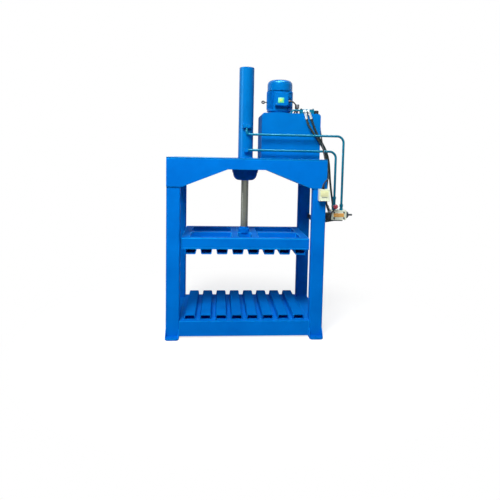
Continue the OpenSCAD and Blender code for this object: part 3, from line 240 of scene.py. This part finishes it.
# Coloured films: flat bright fields that hardly ripple
MINT = moulded("mint_foil", "#74F4A8", "#58E294", rough=(0.3, 0.45), grain=11.11, strength=0.03)
LEMON = moulded("lemon_foil", "#C8F478", "#B4E666", rough=(0.3, 0.45), grain=11.11, strength=0.03)
ORANGE = moulded("orange_foil", "#FFC266", "#F2A848", rough=(0.3, 0.45), grain=11.11, strength=0.03)
# Pressed card: a warm, dry field in the starter's cover
STRAW = moulded("straw_card", "#F2F4C0", "#E6E8AE", rough=(0.45, 0.6), grain=11.11, strength=0.04)

FINISH = {
    "blue_enamel": BLUE, "teal_paint": TEAL, "cream_paint": CREAM, "dark_paint": DARK, "chromed_rod": CHROME,
    "machined_steel": MACHINED, "zinc_steel": ZINC, "dark_steel": BLACKED, "cast_pump": CAST,
    "bronze": BRONZE, "black_rubber": RUBBER, "cable_sheath": SHEATH, "black_plastic": PLASTIC,
    "red_plastic": RED,
}
# Nodes whose surface differs from the rest of their slot
# The gland housing takes the darker enamel as painted shade
OWN_FINISH = {
    "bed_ribs": RUBBED, "platen_ribs": RUBBED, "gland_housing": PAINTED_SHADE, "cylinder_tube": SATIN,
    "cylinder_cap": SATIN, "port_blocks": SATIN, "tank": POWER, "terminal_box": POWER, "terminal_lid": POWER,
    "fan_cover": GLOSS, "crown_top_plate": GLOSS, "motor_bell": GLOSS, "motor_frame": GLOSS, "breather": CAST,
    "outlet_pipe": TEAL, "lifting_eye": BLACKED,
}
for part in frame["record"]["subparts"]:
    thing = nodes[part["node"]]
    finish = OWN_FINISH.get(part["node"], FINISH[part["material_slot"]])
    if thing.material_slots:
        for place in thing.material_slots:
            place.material = finish
    else:
        thing.data.materials.append(finish)


# Surfaces

def surface(name, grids, finish, closed_u=False, closed_v=False, caps=False, smooth=True, uv=None):
    """Quad mesh over one grid of points (rows u, columns v), or over several of one shape side by side.

    Caps close the first and the last row of each grid with one face, and the faces are then turned outwards.
    """
    grids = np.asarray(grids, float)
    grids = grids[None] if grids.ndim == 3 else grids
    k, m, n = grids.shape[:3]
    u = np.arange(m if closed_u else m - 1)
    v = np.arange(n if closed_v else n - 1)
    a, b = np.meshgrid(u, v, indexing="ij")
    a2, b2 = (a + 1) % m, (b + 1) % n
    quads = np.stack([a * n + b, a2 * n + b, a2 * n + b2, a * n + b2], -1).reshape(-1, 4)
    starts = np.arange(k) * m * n
    faces = (quads[None] + starts[:, None, None]).reshape(-1, 4).tolist()
    if caps:
        first, last = np.arange(n), np.arange(m * n - 1, (m - 1) * n - 1, -1)
        faces += (starts[:, None] + first).tolist() + (starts[:, None] + last).tolist()
    mesh = bpy.data.meshes.new(name)
    mesh.from_pydata(grids.reshape(-1, 3).tolist(), [], faces)
    if uv is not None:
        layer = mesh.uv_layers.new(name="along")
        index = np.empty(len(mesh.loops), dtype=np.int32)
        mesh.loops.foreach_get("vertex_index", index)
        corners = uv.reshape(-1, 2)[index]
        if closed_v:
            # The last column of faces ends at a full turn, not back at zero
            corners[:4 * len(quads)].reshape(-1, 4, 2)[(quads[:, 0] % n) == n - 1, 2:, 0] += 1.0
        layer.data.foreach_set("uv", corners.astype(np.float32).ravel())
    if caps or (closed_u and closed_v):
        shell = bmesh.new()
        shell.from_mesh(mesh)
        bmesh.ops.recalc_face_normals(shell, faces=shell.faces)
        shell.to_mesh(mesh)
        shell.free()
    mesh.polygons.foreach_set("use_smooth", np.full(len(mesh.polygons), smooth))
    mesh.materials.append(finish)
    mesh.update()
    made = bpy.data.objects.new(name, mesh)
    scene.collection.objects.link(made)
    return made


def fit_out(name, body, slot, grids, finish, **shape):
    """A surface that rides on a body, in the finish given; its slot argument is not used."""
    made = surface(name, grids, finish, **shape)
    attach(made, body)
    return made


def angles(count):
    """Evenly spaced angles of one full turn, without the last, which is the first again."""
    return np.linspace(0, FULL_TURN, count, endpoint=False)


def walked(path):
    """Distance walked along a path at each of its points: the running sum of its steps."""
    return np.concatenate([[0], np.cumsum(np.linalg.norm(np.diff(path, axis=0), axis=1))])


def smooth_route(points, per_span=8):
    """Catmull-Rom curve through the points, each span sampled evenly."""
    p = np.asarray(points, float)
    p = np.vstack([2 * p[0] - p[1], p, 2 * p[-1] - p[-2]])
    t = np.linspace(0, 1, per_span, endpoint=False)[:, None, None]
    p0, p1, p2, p3 = p[:-3], p[1:-2], p[2:-1], p[3:]
    square = (2 * p0 - 5 * p1 + 4 * p2 - p3) * t**2
    cube = (3 * p1 - p0 - 3 * p2 + p3) * t**3
    curve = 0.5 * (2 * p1 + (p2 - p0) * t + square + cube)
    return np.vstack([curve.transpose(1, 0, 2).reshape(-1, 3), p[-2]])


def normals_along(path):
    """Two unit normals at each point of a path: the first is the last point's, made square to the tangent."""
    t = np.gradient(path, axis=0)
    t /= np.linalg.norm(t, axis=1, keepdims=True)
    a = np.zeros_like(t)
    side = np.array([0.0, 1.0, 0.1])
    for i in range(len(t)):
        side = side - side.dot(t[i]) * t[i]
        side = side / np.linalg.norm(side)
        a[i] = side
    return a, np.cross(t, a)


def tube(name, path, radius, finish, sides=16):
    """Round tube: at each point of the path, a ring of that radius in the plane of its two normals."""
    path = np.asarray(path, float)
    a, b = normals_along(path)
    turn = angles(sides)
    r = np.broadcast_to(np.asarray(radius, float), (len(path),))[:, None, None]
    ring = a[:, None] * np.cos(turn)[None, :, None] + b[:, None] * np.sin(turn)[None, :, None]
    uv = np.stack(np.broadcast_arrays(turn[None] / FULL_TURN, walked(path)[:, None]), -1)
    return surface(name, path[:, None] + r * ring, finish, closed_v=True, caps=True, uv=uv)


# Hoses and motor cable: the routes of their solids

PRESSURE_ROUTE = np.array([
    [571, -45, 1975], [579, -46, 1945], [596, -48, 1910], [618, -50, 1875], [645, -52, 1836],
    [675, -53, 1795], [705, -54, 1752], [733, -54, 1708], [755, -53, 1660], [771, -51, 1610],
    [782, -49, 1560], [788, -45, 1510], [791, -40, 1455], [791, -32, 1400], [789, -24, 1345],
    [787, -15, 1290], [787, -8, 1245], [790, -3, 1208], [797, 1, 1175], [806.6, 2, 1149.2]]) * MM
RETURN_ROUTE = np.array([
    [615, -45, 1979], [626, -43, 1951], [641, -39, 1915], [658, -36, 1876], [680, -34, 1835],
    [706, -33, 1790], [733, -33, 1745], [760, -33, 1697], [781, -32, 1645], [796, -30, 1590],
    [806, -27, 1530], [813, -22, 1470], [820, -17, 1410], [828, -12, 1355], [836, -7, 1305],
    [844, -3, 1260], [851, 0, 1220], [857, 2, 1185], [861.1, 2, 1154.1]]) * MM
CABLE_ROUTE = np.array([
    [410, 44, 2148], [428, 44, 2148], [447, 44.5, 2144.5], [463, 45.5, 2134], [474.5, 47, 2118],
    [480, 50, 2096], [479.5, 57, 2072], [476, 69, 2053.5], [471.5, 88.5, 2041.5], [468.5, 120, 2037],
    [468, 173, 2036.5], [471, 209.5, 2036.5], [481.5, 233.5, 2036.5], [499, 251.5, 2036.5],
    [522, 261.5, 2036.5], [548, 262.5, 2036.5], [573.5, 254, 2036.5], [607, 230, 2036.5],
    [652.5, 194, 2037.5], [686, 170, 2039.5], [706.5, 153.5, 2033], [718.5, 137.5, 2017.5],
    [721, 116, 1990], [720, 80, 1945.5], [720, 44, 1900.5], [720, -11, 1834.5], [719, -67.5, 1769.5],
    [716.5, -125, 1706], [715, -184.5, 1646.5], [714, -246.5, 1589.5], [713.5, -306, 1538],
    [713.5, -355, 1496], [713, -393, 1463], [708, -411, 1443], [696.5, -421, 1425.5],
    [678, -424.5, 1407.5], [665.5, -424.3, 1387.5], [660, -424, 1366], [660, -424, 1348]]) * MM


def lay_cord(name, node, route, diameter, finish):
    """A cord on its smoothed route; both its ends are on the press."""
    path = smooth_route(route)
    made = tube(name, path, diameter / 2, finish)
    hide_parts(node)
    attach(made, "frame")


lay_cord("pressure_hose", "hose_pressure", PRESSURE_ROUTE, diameter=0.020, finish=HOSE)
lay_cord("return_hose", "hose_return", RETURN_ROUTE, diameter=0.020, finish=HOSE)
lay_cord("motor_lead", "motor_cable", CABLE_ROUTE, diameter=0.012, finish=SHEATH)


# Forms of the fittings

# A form whose rows are closed rings, with its first and last ring filled
CLOSED = {"closed_v": True, "caps": True}


def reach(node):
    """Lowest and highest corner of a node's box."""
    low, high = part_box(node)
    return np.array(low), np.array(high)


def face_corners(low, high, inset):
    """Four spots on the front of a box, at an inset from its left, right, lower and upper sides."""
    low, high = low + inset, high - inset
    return [(x, low[1] - inset, z) for x in (low[0], high[0]) for z in (low[2], high[2])]


def axes_of(axis):
    """Two unit normals to an axis, and the axis itself as a unit vector."""
    axis = np.asarray(axis, float) / np.linalg.norm(axis)
    side = np.cross(axis, (0.0, 0.0, 1.0) if abs(axis[2]) < 0.9 else (1.0, 0.0, 0.0))
    side /= np.linalg.norm(side)
    return side, np.cross(axis, side), axis


def turned(radius, height, place, axis, sides=24):
    """Grid of a turned form: at each row, a radius by angle about the axis and a height by angle along it."""
    a, b, c = axes_of(axis)
    turn = angles(sides)[None]
    r, h = np.broadcast_arrays(radius, height + 0 * turn)
    across = (r * np.cos(turn))[..., None] * a + (r * np.sin(turn))[..., None] * b
    return np.asarray(place, float) + across + h[..., None] * c


def pan_head(place, axis, d, h):
    """Pan-head screw: a domed button whose top sinks in a cross, as a bell curve across each of two slots."""
    slot_width, cross_reach, cross_depth = 0.16, 0.62, 0.55
    turn = angles(24)[None]
    r = np.array([1.0, 1.0, 0.93, 0.78, 0.6, 0.45, 0.3, 0.15, 0.02])[:, None] * d / 2
    z = np.array([0.0, 0.5, 0.8, 0.95, 1.0, 1.0, 1.0, 1.0, 1.0])[:, None] * h
    off = np.minimum(np.abs(np.sin(turn)), np.abs(np.cos(turn))) * r
    bell = np.exp(-((off / (slot_width * d / 2)) ** 2))
    sink = np.where(r < cross_reach * d / 2, bell, 0.0) * cross_depth * h
    return turned(r + 0 * turn, z - sink, place, axis)


def socket_head(place, axis, d, h):
    """Cap screw: a round head with a hexagon socket, whose radius is the flat's distance over the cosine."""
    turn = angles(24)[None]
    hexagon = 0.27 * d / np.cos((turn % (np.pi / 3)) - np.pi / 6)
    rim = np.full((3, 24), d / 2) * np.array([[1.0], [1.0], [0.9]])
    r = np.vstack([rim, hexagon, hexagon, np.full((1, 24), d / 60)])
    z = np.array([0.0, 0.85, 1.0, 1.0, 0.35, 0.35])[:, None] * h
    return turned(r, z, place, axis)


# A welder's ripples are 6 mm apart and stand out by about an eighth of the bead
RIPPLE = 6.0 * MM
RIPPLE_SHARE = 0.12


def bead(start, end, radius, rings):
    """Weld bead: a rod along the line whose radius ripples as a sine and draws in at both ends."""
    start, end = np.asarray(start, float), np.asarray(end, float)
    length = np.linalg.norm(end - start)
    t = np.linspace(0, 1, rings)[:, None]
    close = np.sqrt(1 - 0.9 * np.abs(2 * t - 1) ** max(4.0, length / (2 * RIPPLE)))
    r = radius * (1 + RIPPLE_SHARE * np.sin(FULL_TURN * t * length / RIPPLE)) * close
    return turned(r + np.zeros((1, 8)), t * length, start, end - start, sides=8)


def ring_bead(place, big, radius):
    """Weld bead round a tube: a torus whose small radius ripples as a sine round the ring."""
    a = angles(220)[:, None]
    b = angles(8)[None]
    r = radius * (1 + RIPPLE_SHARE * np.sin(a * round(FULL_TURN * big / RIPPLE)))
    out = big + r * np.cos(b)
    return np.asarray(place, float) + np.stack([out * np.cos(a), out * np.sin(a), r * np.sin(b)], -1)


def plate(x, z, y, thick, corner):
    """Thin plate in X and Z at depth y: rings of a rounded outline, drawn in a little at the front edge."""
    turn = angles(48)
    half = np.array([(x[1] - x[0]) / 2, (z[1] - z[0]) / 2])
    middle = np.array([(x[0] + x[1]) / 2, (z[0] + z[1]) / 2])
    quarter = np.stack([np.cos(turn), np.sin(turn)], -1)
    outline = np.sign(np.round(quarter, 6)) * (half - corner) + corner * quarter
    share = np.array([1.0, 1.0, 1.0 - 0.3 * thick / half.min(), 0.01])[:, None]
    depth = np.array([0.0, -0.7 * thick, -thick, -thick])[:, None] + 0 * turn
    return np.stack([middle[0] + share * outline[:, 0], y + depth, middle[1] + share * outline[:, 1]], -1)


def crimp(place, axis, r, start, end):
    """Crimped ferrule: two collars and a waist pressed into eight flats, as a cosine of the angle."""
    turn = angles(48)[None]
    t = np.array([0.0, 0.0, 0.02, 0.1, 0.12, 0.16, 0.5, 0.84, 0.88, 0.9, 0.98, 1.0, 1.0])[:, None]
    lift = np.array([-1.0, 0.3, 0.8, 0.8, 0.3, 0.3, 0.3, 0.3, 0.3, 0.8, 0.8, 0.3, -1.0])[:, None] * MM
    flats = np.where((t > 0.11) & (t < 0.89), 0.45 * MM * np.cos(8 * turn), 0.0)
    return turned(r + lift + flats, start + t * (end - start), place, axis, sides=48)


def saddle(centre, along, face):
    """Saddle clip on a face of constant X, with its two screws: feet, legs and a half circle over the lead.

    The band's middle line lies in the plane across the lead, and a flat rectangle is carried along that line.
    """
    band, wide, foot, r = 1.6 * MM, 14.0 * MM, 22.0 * MM, 7.2 * MM
    screw_off, screw_d, screw_h = 16.0 * MM, 8.0 * MM, 2.8 * MM
    out = np.array([1.0, 0.0, 0.0])
    along = along * (1 - out)
    along = along / np.linalg.norm(along)
    across = np.cross(along, out)
    height = centre[0] - face
    base = centre - height * out
    arc = np.radians(np.linspace(180, 0, 17))
    leg = np.array([[foot, band / 2], [r + 2.0 * MM, band / 2], [r, 3.0 * MM]])
    arch = np.column_stack([r * np.cos(arc), height + r * np.sin(arc)])
    line = np.vstack([leg * (-1, 1), arch, leg[::-1]])
    step = np.gradient(line, axis=0)
    step /= np.linalg.norm(step, axis=1, keepdims=True)
    normal = np.column_stack([-step[:, 1], step[:, 0]])
    flat = line[:, None] + normal[:, None] * (band / 2 * np.array([-1, -1, 1, 1]))[None, :, None]
    shift = wide / 2 * np.array([-1, 1, 1, -1])
    grid = base + flat[..., :1] * across + flat[..., 1:] * out + shift[None, :, None] * along
    spots = [base + side * screw_off * across + band * out for side in (-1, 1)]
    return grid, [pan_head(spot, out, screw_d, screw_h) for spot in spots]


# Fittings, each on the face that carries it

def motor_fittings():
    """Screws in the corners of the terminal lid and round the fan cover, and two colour fields on the lid."""
    low, high = reach("terminal_lid")
    heads = [pan_head(spot, FRONT, d=0.009, h=0.003) for spot in face_corners(low, high, inset=0.011)]
    fit_out("terminal_lid_screws", "frame", "blue_enamel", heads, GLOSS, **CLOSED)
    film, core = 0.8 * MM, 0.5 * MM
    field = plate(x=(0.304, 0.360), z=(2.129, 2.177), y=low[1], thick=film, corner=0.006)
    fit_out("motor_foil", "frame", "cream_paint", field, MINT, **CLOSED)
    field = plate(x=(0.318, 0.344), z=(2.138, 2.169), y=low[1] - film, thick=core, corner=0.008)
    fit_out("motor_foil_core", "frame", "cream_paint", field, LEMON, **CLOSED)

    low, high = reach("fan_cover")
    middle, r = (low + high) / 2, (high[0] - low[0]) / 2
    above_rim, spread = 20.0 * MM, np.radians([40, 140, 220, 320])
    rim = np.array([middle[0], middle[1], low[2] + above_rim])
    ways = np.column_stack([np.cos(spread), np.sin(spread), np.zeros(4)])
    heads = [pan_head(rim + r * way, way, d=0.01, h=0.0035) for way in ways]
    fit_out("fan_cover_screws", "frame", "blue_enamel", heads, GLOSS, **CLOSED)


def starter_fittings():
    """Screws in the corners of the starter's cover, a pale panel in its recess and a dark groove under it."""
    low, high = reach("starter_cover")
    heads = [pan_head(spot, FRONT, d=0.0055, h=0.002) for spot in face_corners(low, high, inset=0.0065)]
    fit_out("starter_screws", "frame", "zinc_steel", heads, ZINC, **CLOSED)
    film = 0.6 * MM
    margin, panel_foot, panel_sunk = 12.0 * MM, 41.0 * MM, 3.0 * MM
    panel = plate(x=(low[0] + margin, high[0] - margin), z=(low[2] + panel_foot, high[2] - margin),
                  y=low[1] + panel_sunk, thick=film, corner=0.004)
    fit_out("starter_panel", "frame", "cream_paint", panel, STRAW, **CLOSED)
    margin, bar_foot, bar_top, bar_sunk = 20.0 * MM, 31.5 * MM, 35.5 * MM, 4.2 * MM
    bar = plate(x=(low[0] + margin, high[0] - margin), z=(low[2] + bar_foot, low[2] + bar_top),
                y=low[1] + bar_sunk, thick=film, corner=0.0018)
    fit_out("starter_groove", "frame", "dark_paint", bar, DARK, **CLOSED)


def valve_fittings():
    """A colour field on the valve, and cap screws on the manifold block and the lever's housing."""
    low, _ = reach("valve_body")
    field = plate(x=(0.8375, 0.9365), z=(1.0583, 1.0947), y=low[1], thick=0.0008, corner=0.004)
    fit_out("valve_foil", "frame", "cream_paint", field, ORANGE, **CLOSED)
    inset, wide_inset = 9.0 * MM, 16.0 * MM
    low, high = reach("manifold_block")
    spots = [(x, y, high[2]) for x in (low[0] + inset, high[0] - inset)
             for y in (low[1] + inset, high[1] - inset)]
    heads = [socket_head(spot, UP, d=0.012, h=0.007) for spot in spots]
    fit_out("manifold_screws", "frame", "dark_steel", heads, BLACKED, smooth=False, **CLOSED)
    low, high = reach("lever_housing")
    spots = [(x, low[1], z) for x in (low[0] + wide_inset, high[0] - inset)
             for z in (low[2] + inset, high[2] - wide_inset)]
    heads = [socket_head(spot, FRONT, d=0.008, h=0.004) for spot in spots]
    fit_out("housing_screws", "frame", "dark_steel", heads, BLACKED, smooth=False, **CLOSED)


def hose_fittings():
    """Ferrules on the four hose ends, each from its port, its lean in degrees and 1 where it points down."""
    ferrule_r, ferrule_from, ferrule_to = 13.0 * MM, 29.0 * MM, 78.5 * MM
    ends = (((0.553, -0.045, 2.051), 13, 1), ((0.586, -0.045, 2.051), 22, 1),
            ((0.836, 0.002, 1.0765), 22, -1), ((0.872, 0.002, 1.0765), 8, -1))
    ferrules = []
    for port, lean, down in ends:
        axis = (down * sin(np.radians(lean)), 0, -down * cos(np.radians(lean)))
        ferrules.append(crimp(port, axis, ferrule_r, ferrule_from, ferrule_to))
    fit_out("hose_crimps_upper", "frame", "zinc_steel", ferrules[:2], ZINC, **CLOSED)
    # The lower pair is blackened where the upper pair is zinc: painted shade for the dark hollow by the valve
    fit_out("hose_crimps_lower", "frame", "dark_steel", ferrules[2:], BLACKED, **CLOSED)


def lead_fittings():
    """Strain reliefs at both ends of the motor lead, tapered and ringed as a sine, and two clips between."""
    path = smooth_route(CABLE_ROUTE)
    gland_end, relief_length, rows, rings = 16.5 * MM, 34.0 * MM, 40, 6
    at = gland_end + np.linspace(0, relief_length, rows)
    ringed = 0.35 * MM * np.sin(np.linspace(0, rings * FULL_TURN, rows))
    taper = np.linspace(9.2, 6.4, rows) * MM + ringed
    for name, line in (("terminal_relief", path), ("starter_relief", path[::-1])):
        spots = np.column_stack([np.interp(at, walked(line), line[:, i]) for i in range(3)])
        made = tube(name, spots, taper, PLASTIC)
        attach(made, "frame")

    # The lead goes down the right side in the second half of its route
    bands, heads = [], []
    half = len(path) // 2
    for y, node in ((0.044, "tank"), (-0.352, "front_posts")):
        i = half + np.abs(path[half:, 1] - y).argmin()
        band, screws = saddle(path[i], path[i + 1] - path[i - 1], reach(node)[1][0])
        bands.append(band)
        heads += screws
    fit_out("lead_clips", "frame", "black_plastic", bands, PLASTIC, smooth=False, **CLOSED)
    fit_out("lead_clip_screws", "frame", "zinc_steel", heads, ZINC, **CLOSED)


# Weld beads in the corners where plates, posts, ribs and tubes are joined

# A bead's middle lies this far outside the faces that it joins
PROUD = 0.5 * MM
STITCH = 55.0 * MM


def frame_welds():
    """Beads under the haunches and beside the base beams, and rings round the cylinder and rod socket."""
    haunch = reach("crown_webs")[0][2]
    under = haunch - 1.0 * MM
    web_y, web_in, web_out = 0.3885, 0.566, 0.692
    beam_y, beam_foot, beam_top, post_in = 0.3875, 0.02, 0.148, 0.58
    seams = []
    for sx in (-1, 1):
        for sy in (-1, 1):
            seams.append(((sx * web_out, sy * web_y, under), (sx * web_in, sy * web_y, under)))
            seams.append(((sx * post_in, sy * beam_y, beam_foot), (sx * post_in, sy * beam_y, beam_top)))
    beads = [bead(a, b, radius=0.0035, rings=90) for a, b in seams]
    fit_out("frame_welds", "frame", "blue_enamel", beads, BLUE, **CLOSED)

    crown_top, tube_r = 1.6, 0.071
    ring = ring_bead((0, 0, crown_top), big=tube_r, radius=0.004)
    fit_out("cylinder_weld", "frame", "blue_enamel", ring, BLUE, closed_u=True, closed_v=True)
    low, high = reach("rod_socket")
    socket_r = (high[0] - low[0]) / 2 + 1.0 * MM
    ring = ring_bead((0, 0, low[2]), big=socket_r, radius=0.004)
    fit_out("socket_weld", "ram", "blue_enamel", ring, BLUE, closed_u=True, closed_v=True)


def tank_welds():
    """Stitched beads round the foot of the tank, at its front, rear and left."""
    low, high = reach("tank")
    foot, pitch, side_start, left_start, last_start = 1.6, 0.115, 0.03, 0.04, 0.07
    lines = []
    for y in (low[1] - PROUD, high[1] + PROUD):
        for x in np.arange(low[0] + side_start, high[0] - last_start, pitch):
            lines.append(((x, y, foot), (x + STITCH, y, foot)))
    left = low[0] - PROUD
    for y in np.arange(low[1] + left_start, high[1] - last_start, pitch):
        lines.append(((left, y, foot), (left, y + STITCH, foot)))
    beads = [bead(a, b, radius=0.0035, rings=40) for a, b in lines]
    fit_out("tank_welds", "frame", "blue_enamel", beads, BLUE, **CLOSED)


def rib_welds():
    """Six stitches along each foot of the eight ribs on the bed and of the eight under the platen."""
    ribs, pitch, stitches, first_start, last_start = 8, 0.14, 6, 0.03, 0.085
    for node, body in (("bed_ribs", "frame"), ("platen_ribs", "ram")):
        low, high = reach(node)
        z = low[2] + PROUD if node == "bed_ribs" else high[2] - PROUD
        foot = (high[0] - low[0] - (ribs - 1) * pitch) / 2
        lines = []
        for x in (np.arange(ribs) - (ribs - 1) / 2) * pitch:
            for side in (-1, 1):
                for y in np.linspace(low[1] + first_start, high[1] - last_start, stitches):
                    lines.append(((x + side * foot, y, z), (x + side * foot, y + STITCH, z)))
        beads = [bead(a, b, radius=0.003, rings=40) for a, b in lines]
        fit_out(node + "_welds", body, "blue_enamel", beads, BLUE, **CLOSED)


motor_fittings()
starter_fittings()
valve_fittings()
hose_fittings()
lead_fittings()
frame_welds()
tank_welds()
rib_welds()

# The sheared and folded plates have broken edges that catch the light, and on blue plates the bevel also
# carries a painted highlight; widths are in millimetres
BROKEN_EDGES = {
    "crown_webs": 3.0, "crown_top_plate": 3.0, "crown_plates": 1.5, "base_beams": 6.0, "base_sills": 6.0,
    "bed_plate": 1.5, "platen_frame": 6.0, "platen_plate": 1.5, "platen_pad": 3.0, "feet": 1.5,
    "port_blocks": 2.0, "manifold_block": 1.5, "valve_bracket": 1.0, "terminal_box": 1.5, "terminal_lid": 1.5,
    "starter_box": 1.2, "starter_cover": 1.0, "lever_housing": 1.5,
}
for node, width in BROKEN_EDGES.items():
    join = nodes[node].modifiers.new("join", "WELD")
    join.merge_threshold = 0.01 * MM
    edge = nodes[node].modifiers.new("edge", "BEVEL")
    edge.width = width * MM
    edge.segments = 2
    edge.limit_method = "ANGLE"
    edge.angle_limit = np.radians(50)
    edge.use_clamp_overlap = True
    # The bevel faces of blue plates take the lighter enamel: a painted highlight along each edge
    if BLUE in list(nodes[node].data.materials):
        nodes[node].data.materials.append(EDGE_HIGHLIGHT)
        edge.material = 1


# Floor, light and camera

def stand(shown, right, up, back, place):
    """Puts a lamp or camera at place: its own axes are its matrix's columns, and it looks away from back."""
    matrix = np.eye(4)
    matrix[:3] = np.column_stack([right, up, back, place])
    shown.matrix_world = Matrix(matrix.tolist())


def seen_rays(tree):
    """A node that is 1 for what is seen, plain, mirrored or through glass: the largest of three ray flags."""
    path = add(tree, "ShaderNodeLightPath")
    mirrored = add(tree, "ShaderNodeMath", {"operation": "MAXIMUM"},
                   _0=(path, "Is Camera Ray"), _1=(path, "Is Glossy Ray"))
    return add(tree, "ShaderNodeMath", {"operation": "MAXIMUM"},
               _0=(mirrored, "Value"), _1=(path, "Is Transmission Ray"))


def floor():
    """A wide disc just under the feet: rings of growing radius.

    Near the press it keeps the shadow. Further out it shows as the white of the world and gives no light.
    """
    below, reach_out, shadow_from, shadow_to, paleness = -0.5 * MM, 14.0, 1.0, 2.1, 0.74
    r = np.linspace(0.0, reach_out, 30)[:, None]
    turn = angles(64)[None]
    flat = np.full_like(r * turn, below)
    grid = np.stack(np.broadcast_arrays(r * np.cos(turn), r * np.sin(turn), flat), -1)
    # Pale matt screed: no highlight, only a soft shadow
    made, tree, shader, place = start("pale_floor")
    shader.inputs["Base Color"].default_value = linear("#A8A8A8")
    shader.inputs["Roughness"].default_value = 0.8
    shader.inputs["Specular IOR Level"].default_value = 0.1
    seen = seen_rays(tree)
    away = add(tree, "ShaderNodeVectorMath", {"operation": "LENGTH"}, Vector=(place, "Object"))
    far = add(tree, "ShaderNodeMapRange", {"interpolation_type": "SMOOTHSTEP"},
              {"From Min": shadow_from, "From Max": shadow_to}, Value=(away, "Value"))
    lift = add(tree, "ShaderNodeMath", {"operation": "MULTIPLY"}, {1: paleness}, _0=(seen, "Value"))
    pale = add(tree, "ShaderNodeEmission", {}, Strength=(lift, "Value"))
    near = add(tree, "ShaderNodeAddShader", _0=(shader, "BSDF"), _1=(pale, "Emission"))
    white = add(tree, "ShaderNodeEmission", {}, {"Strength": 1.0})
    share = add(tree, "ShaderNodeMath", {"operation": "MULTIPLY"}, _0=(far, "Result"), _1=(seen, "Value"))
    blend = add(tree, "ShaderNodeMixShader",
                Fac=(share, "Value"), _1=(near, "Shader"), _2=(white, "Emission"))
    out = next(n for n in tree.nodes if n.type == "OUTPUT_MATERIAL")
    tree.links.new(blend.outputs["Shader"], out.inputs["Surface"])
    surface("floor", grid, made, closed_v=True)


def sky():
    """White where it is seen and a weak cool fill as light: a mix of two by the kind of ray."""
    world = bpy.data.worlds.new("studio")
    scene.world = world
    world.use_nodes = True
    tree = world.node_tree
    tree.nodes.clear()
    seen = seen_rays(tree)
    fill = add(tree, "ShaderNodeBackground", {}, {"Color": (0.92, 0.96, 1.0, 1.0), "Strength": 0.14})
    white = add(tree, "ShaderNodeBackground", {}, {"Color": grey(1.0), "Strength": 1.0})
    both = add(tree, "ShaderNodeMixShader",
               Fac=(seen, "Value"), _1=(fill, "Background"), _2=(white, "Background"))
    add(tree, "ShaderNodeOutputWorld", Surface=(both, "Shader"))


# Place, aim and size in metres, power in watts, and whether it lights flat faces and is mirrored.
# The key is high on the left and the back lamp fills the rear; strip and canopy only give highlights.
LAMPS = {
    "key": ((-1.3, -3.9, 5.2), (0.1, 0.0, 1.0), (2.4, 2.4), 385.0, True, True),
    "back": ((1.8, 5.0, 1.6), (0.1, 0.0, 1.0), (3.0, 2.0), 90.0, True, False),
    "strip": ((-4.0, -1.2, 2.5), (0.1, 0.0, 2.3), (0.4, 1.8), 220.0, False, True),
    "canopy": ((0.2, -1.0, 5.2), (0.2, -0.2, 1.6), (3.0, 1.2), 520.0, False, True),
}


def lamps():
    """Rectangular white lamps, each square to the line from its aim."""
    for name, (place, aim, size, power, lights_faces, mirrored) in LAMPS.items():
        lamp = bpy.data.lights.new(name, "AREA")
        lamp.energy = power
        lamp.color = (1.0, 1.0, 1.0)
        lamp.shape = "RECTANGLE"
        lamp.size, lamp.size_y = size
        shown = bpy.data.objects.new(name, lamp)
        scene.collection.objects.link(shown)
        back = np.array(place) - np.array(aim)
        back /= np.linalg.norm(back)
        right = np.cross(UP, back)
        right /= np.linalg.norm(right)
        stand(shown, right, np.cross(back, right), back, place)
        shown.visible_diffuse = lights_faces
        shown.visible_glossy = mirrored


def camera():
    """The photograph's camera, from a fit to frame and ribs: yaw to the right, pitch down, roll clockwise."""
    place = (-0.2440, -4.2607, 1.6304)
    yaw, pitch, roll = 0.0690, 0.0787, 0.0197
    focal_px, photo_px, sensor_mm = 446.88, 500, 36.0
    right = np.array([cos(yaw), -sin(yaw), 0.0])
    up = np.array([sin(yaw) * sin(pitch), cos(yaw) * sin(pitch), cos(pitch)])
    ahead = np.array([sin(yaw) * cos(pitch), cos(yaw) * cos(pitch), -sin(pitch)])
    right, up = right * cos(roll) + up * sin(roll), up * cos(roll) - right * sin(roll)
    lens = bpy.data.cameras.new("camera")
    lens.sensor_width = sensor_mm
    lens.lens = focal_px / photo_px * sensor_mm
    lens.shift_y = -0.12
    lens.clip_end = 100.0
    shown = bpy.data.objects.new("camera", lens)
    scene.collection.objects.link(shown)
    stand(shown, right, up, -ahead, place)
    scene.camera = shown


floor()
sky()
lamps()
camera()
scene.view_settings.view_transform = "Standard"
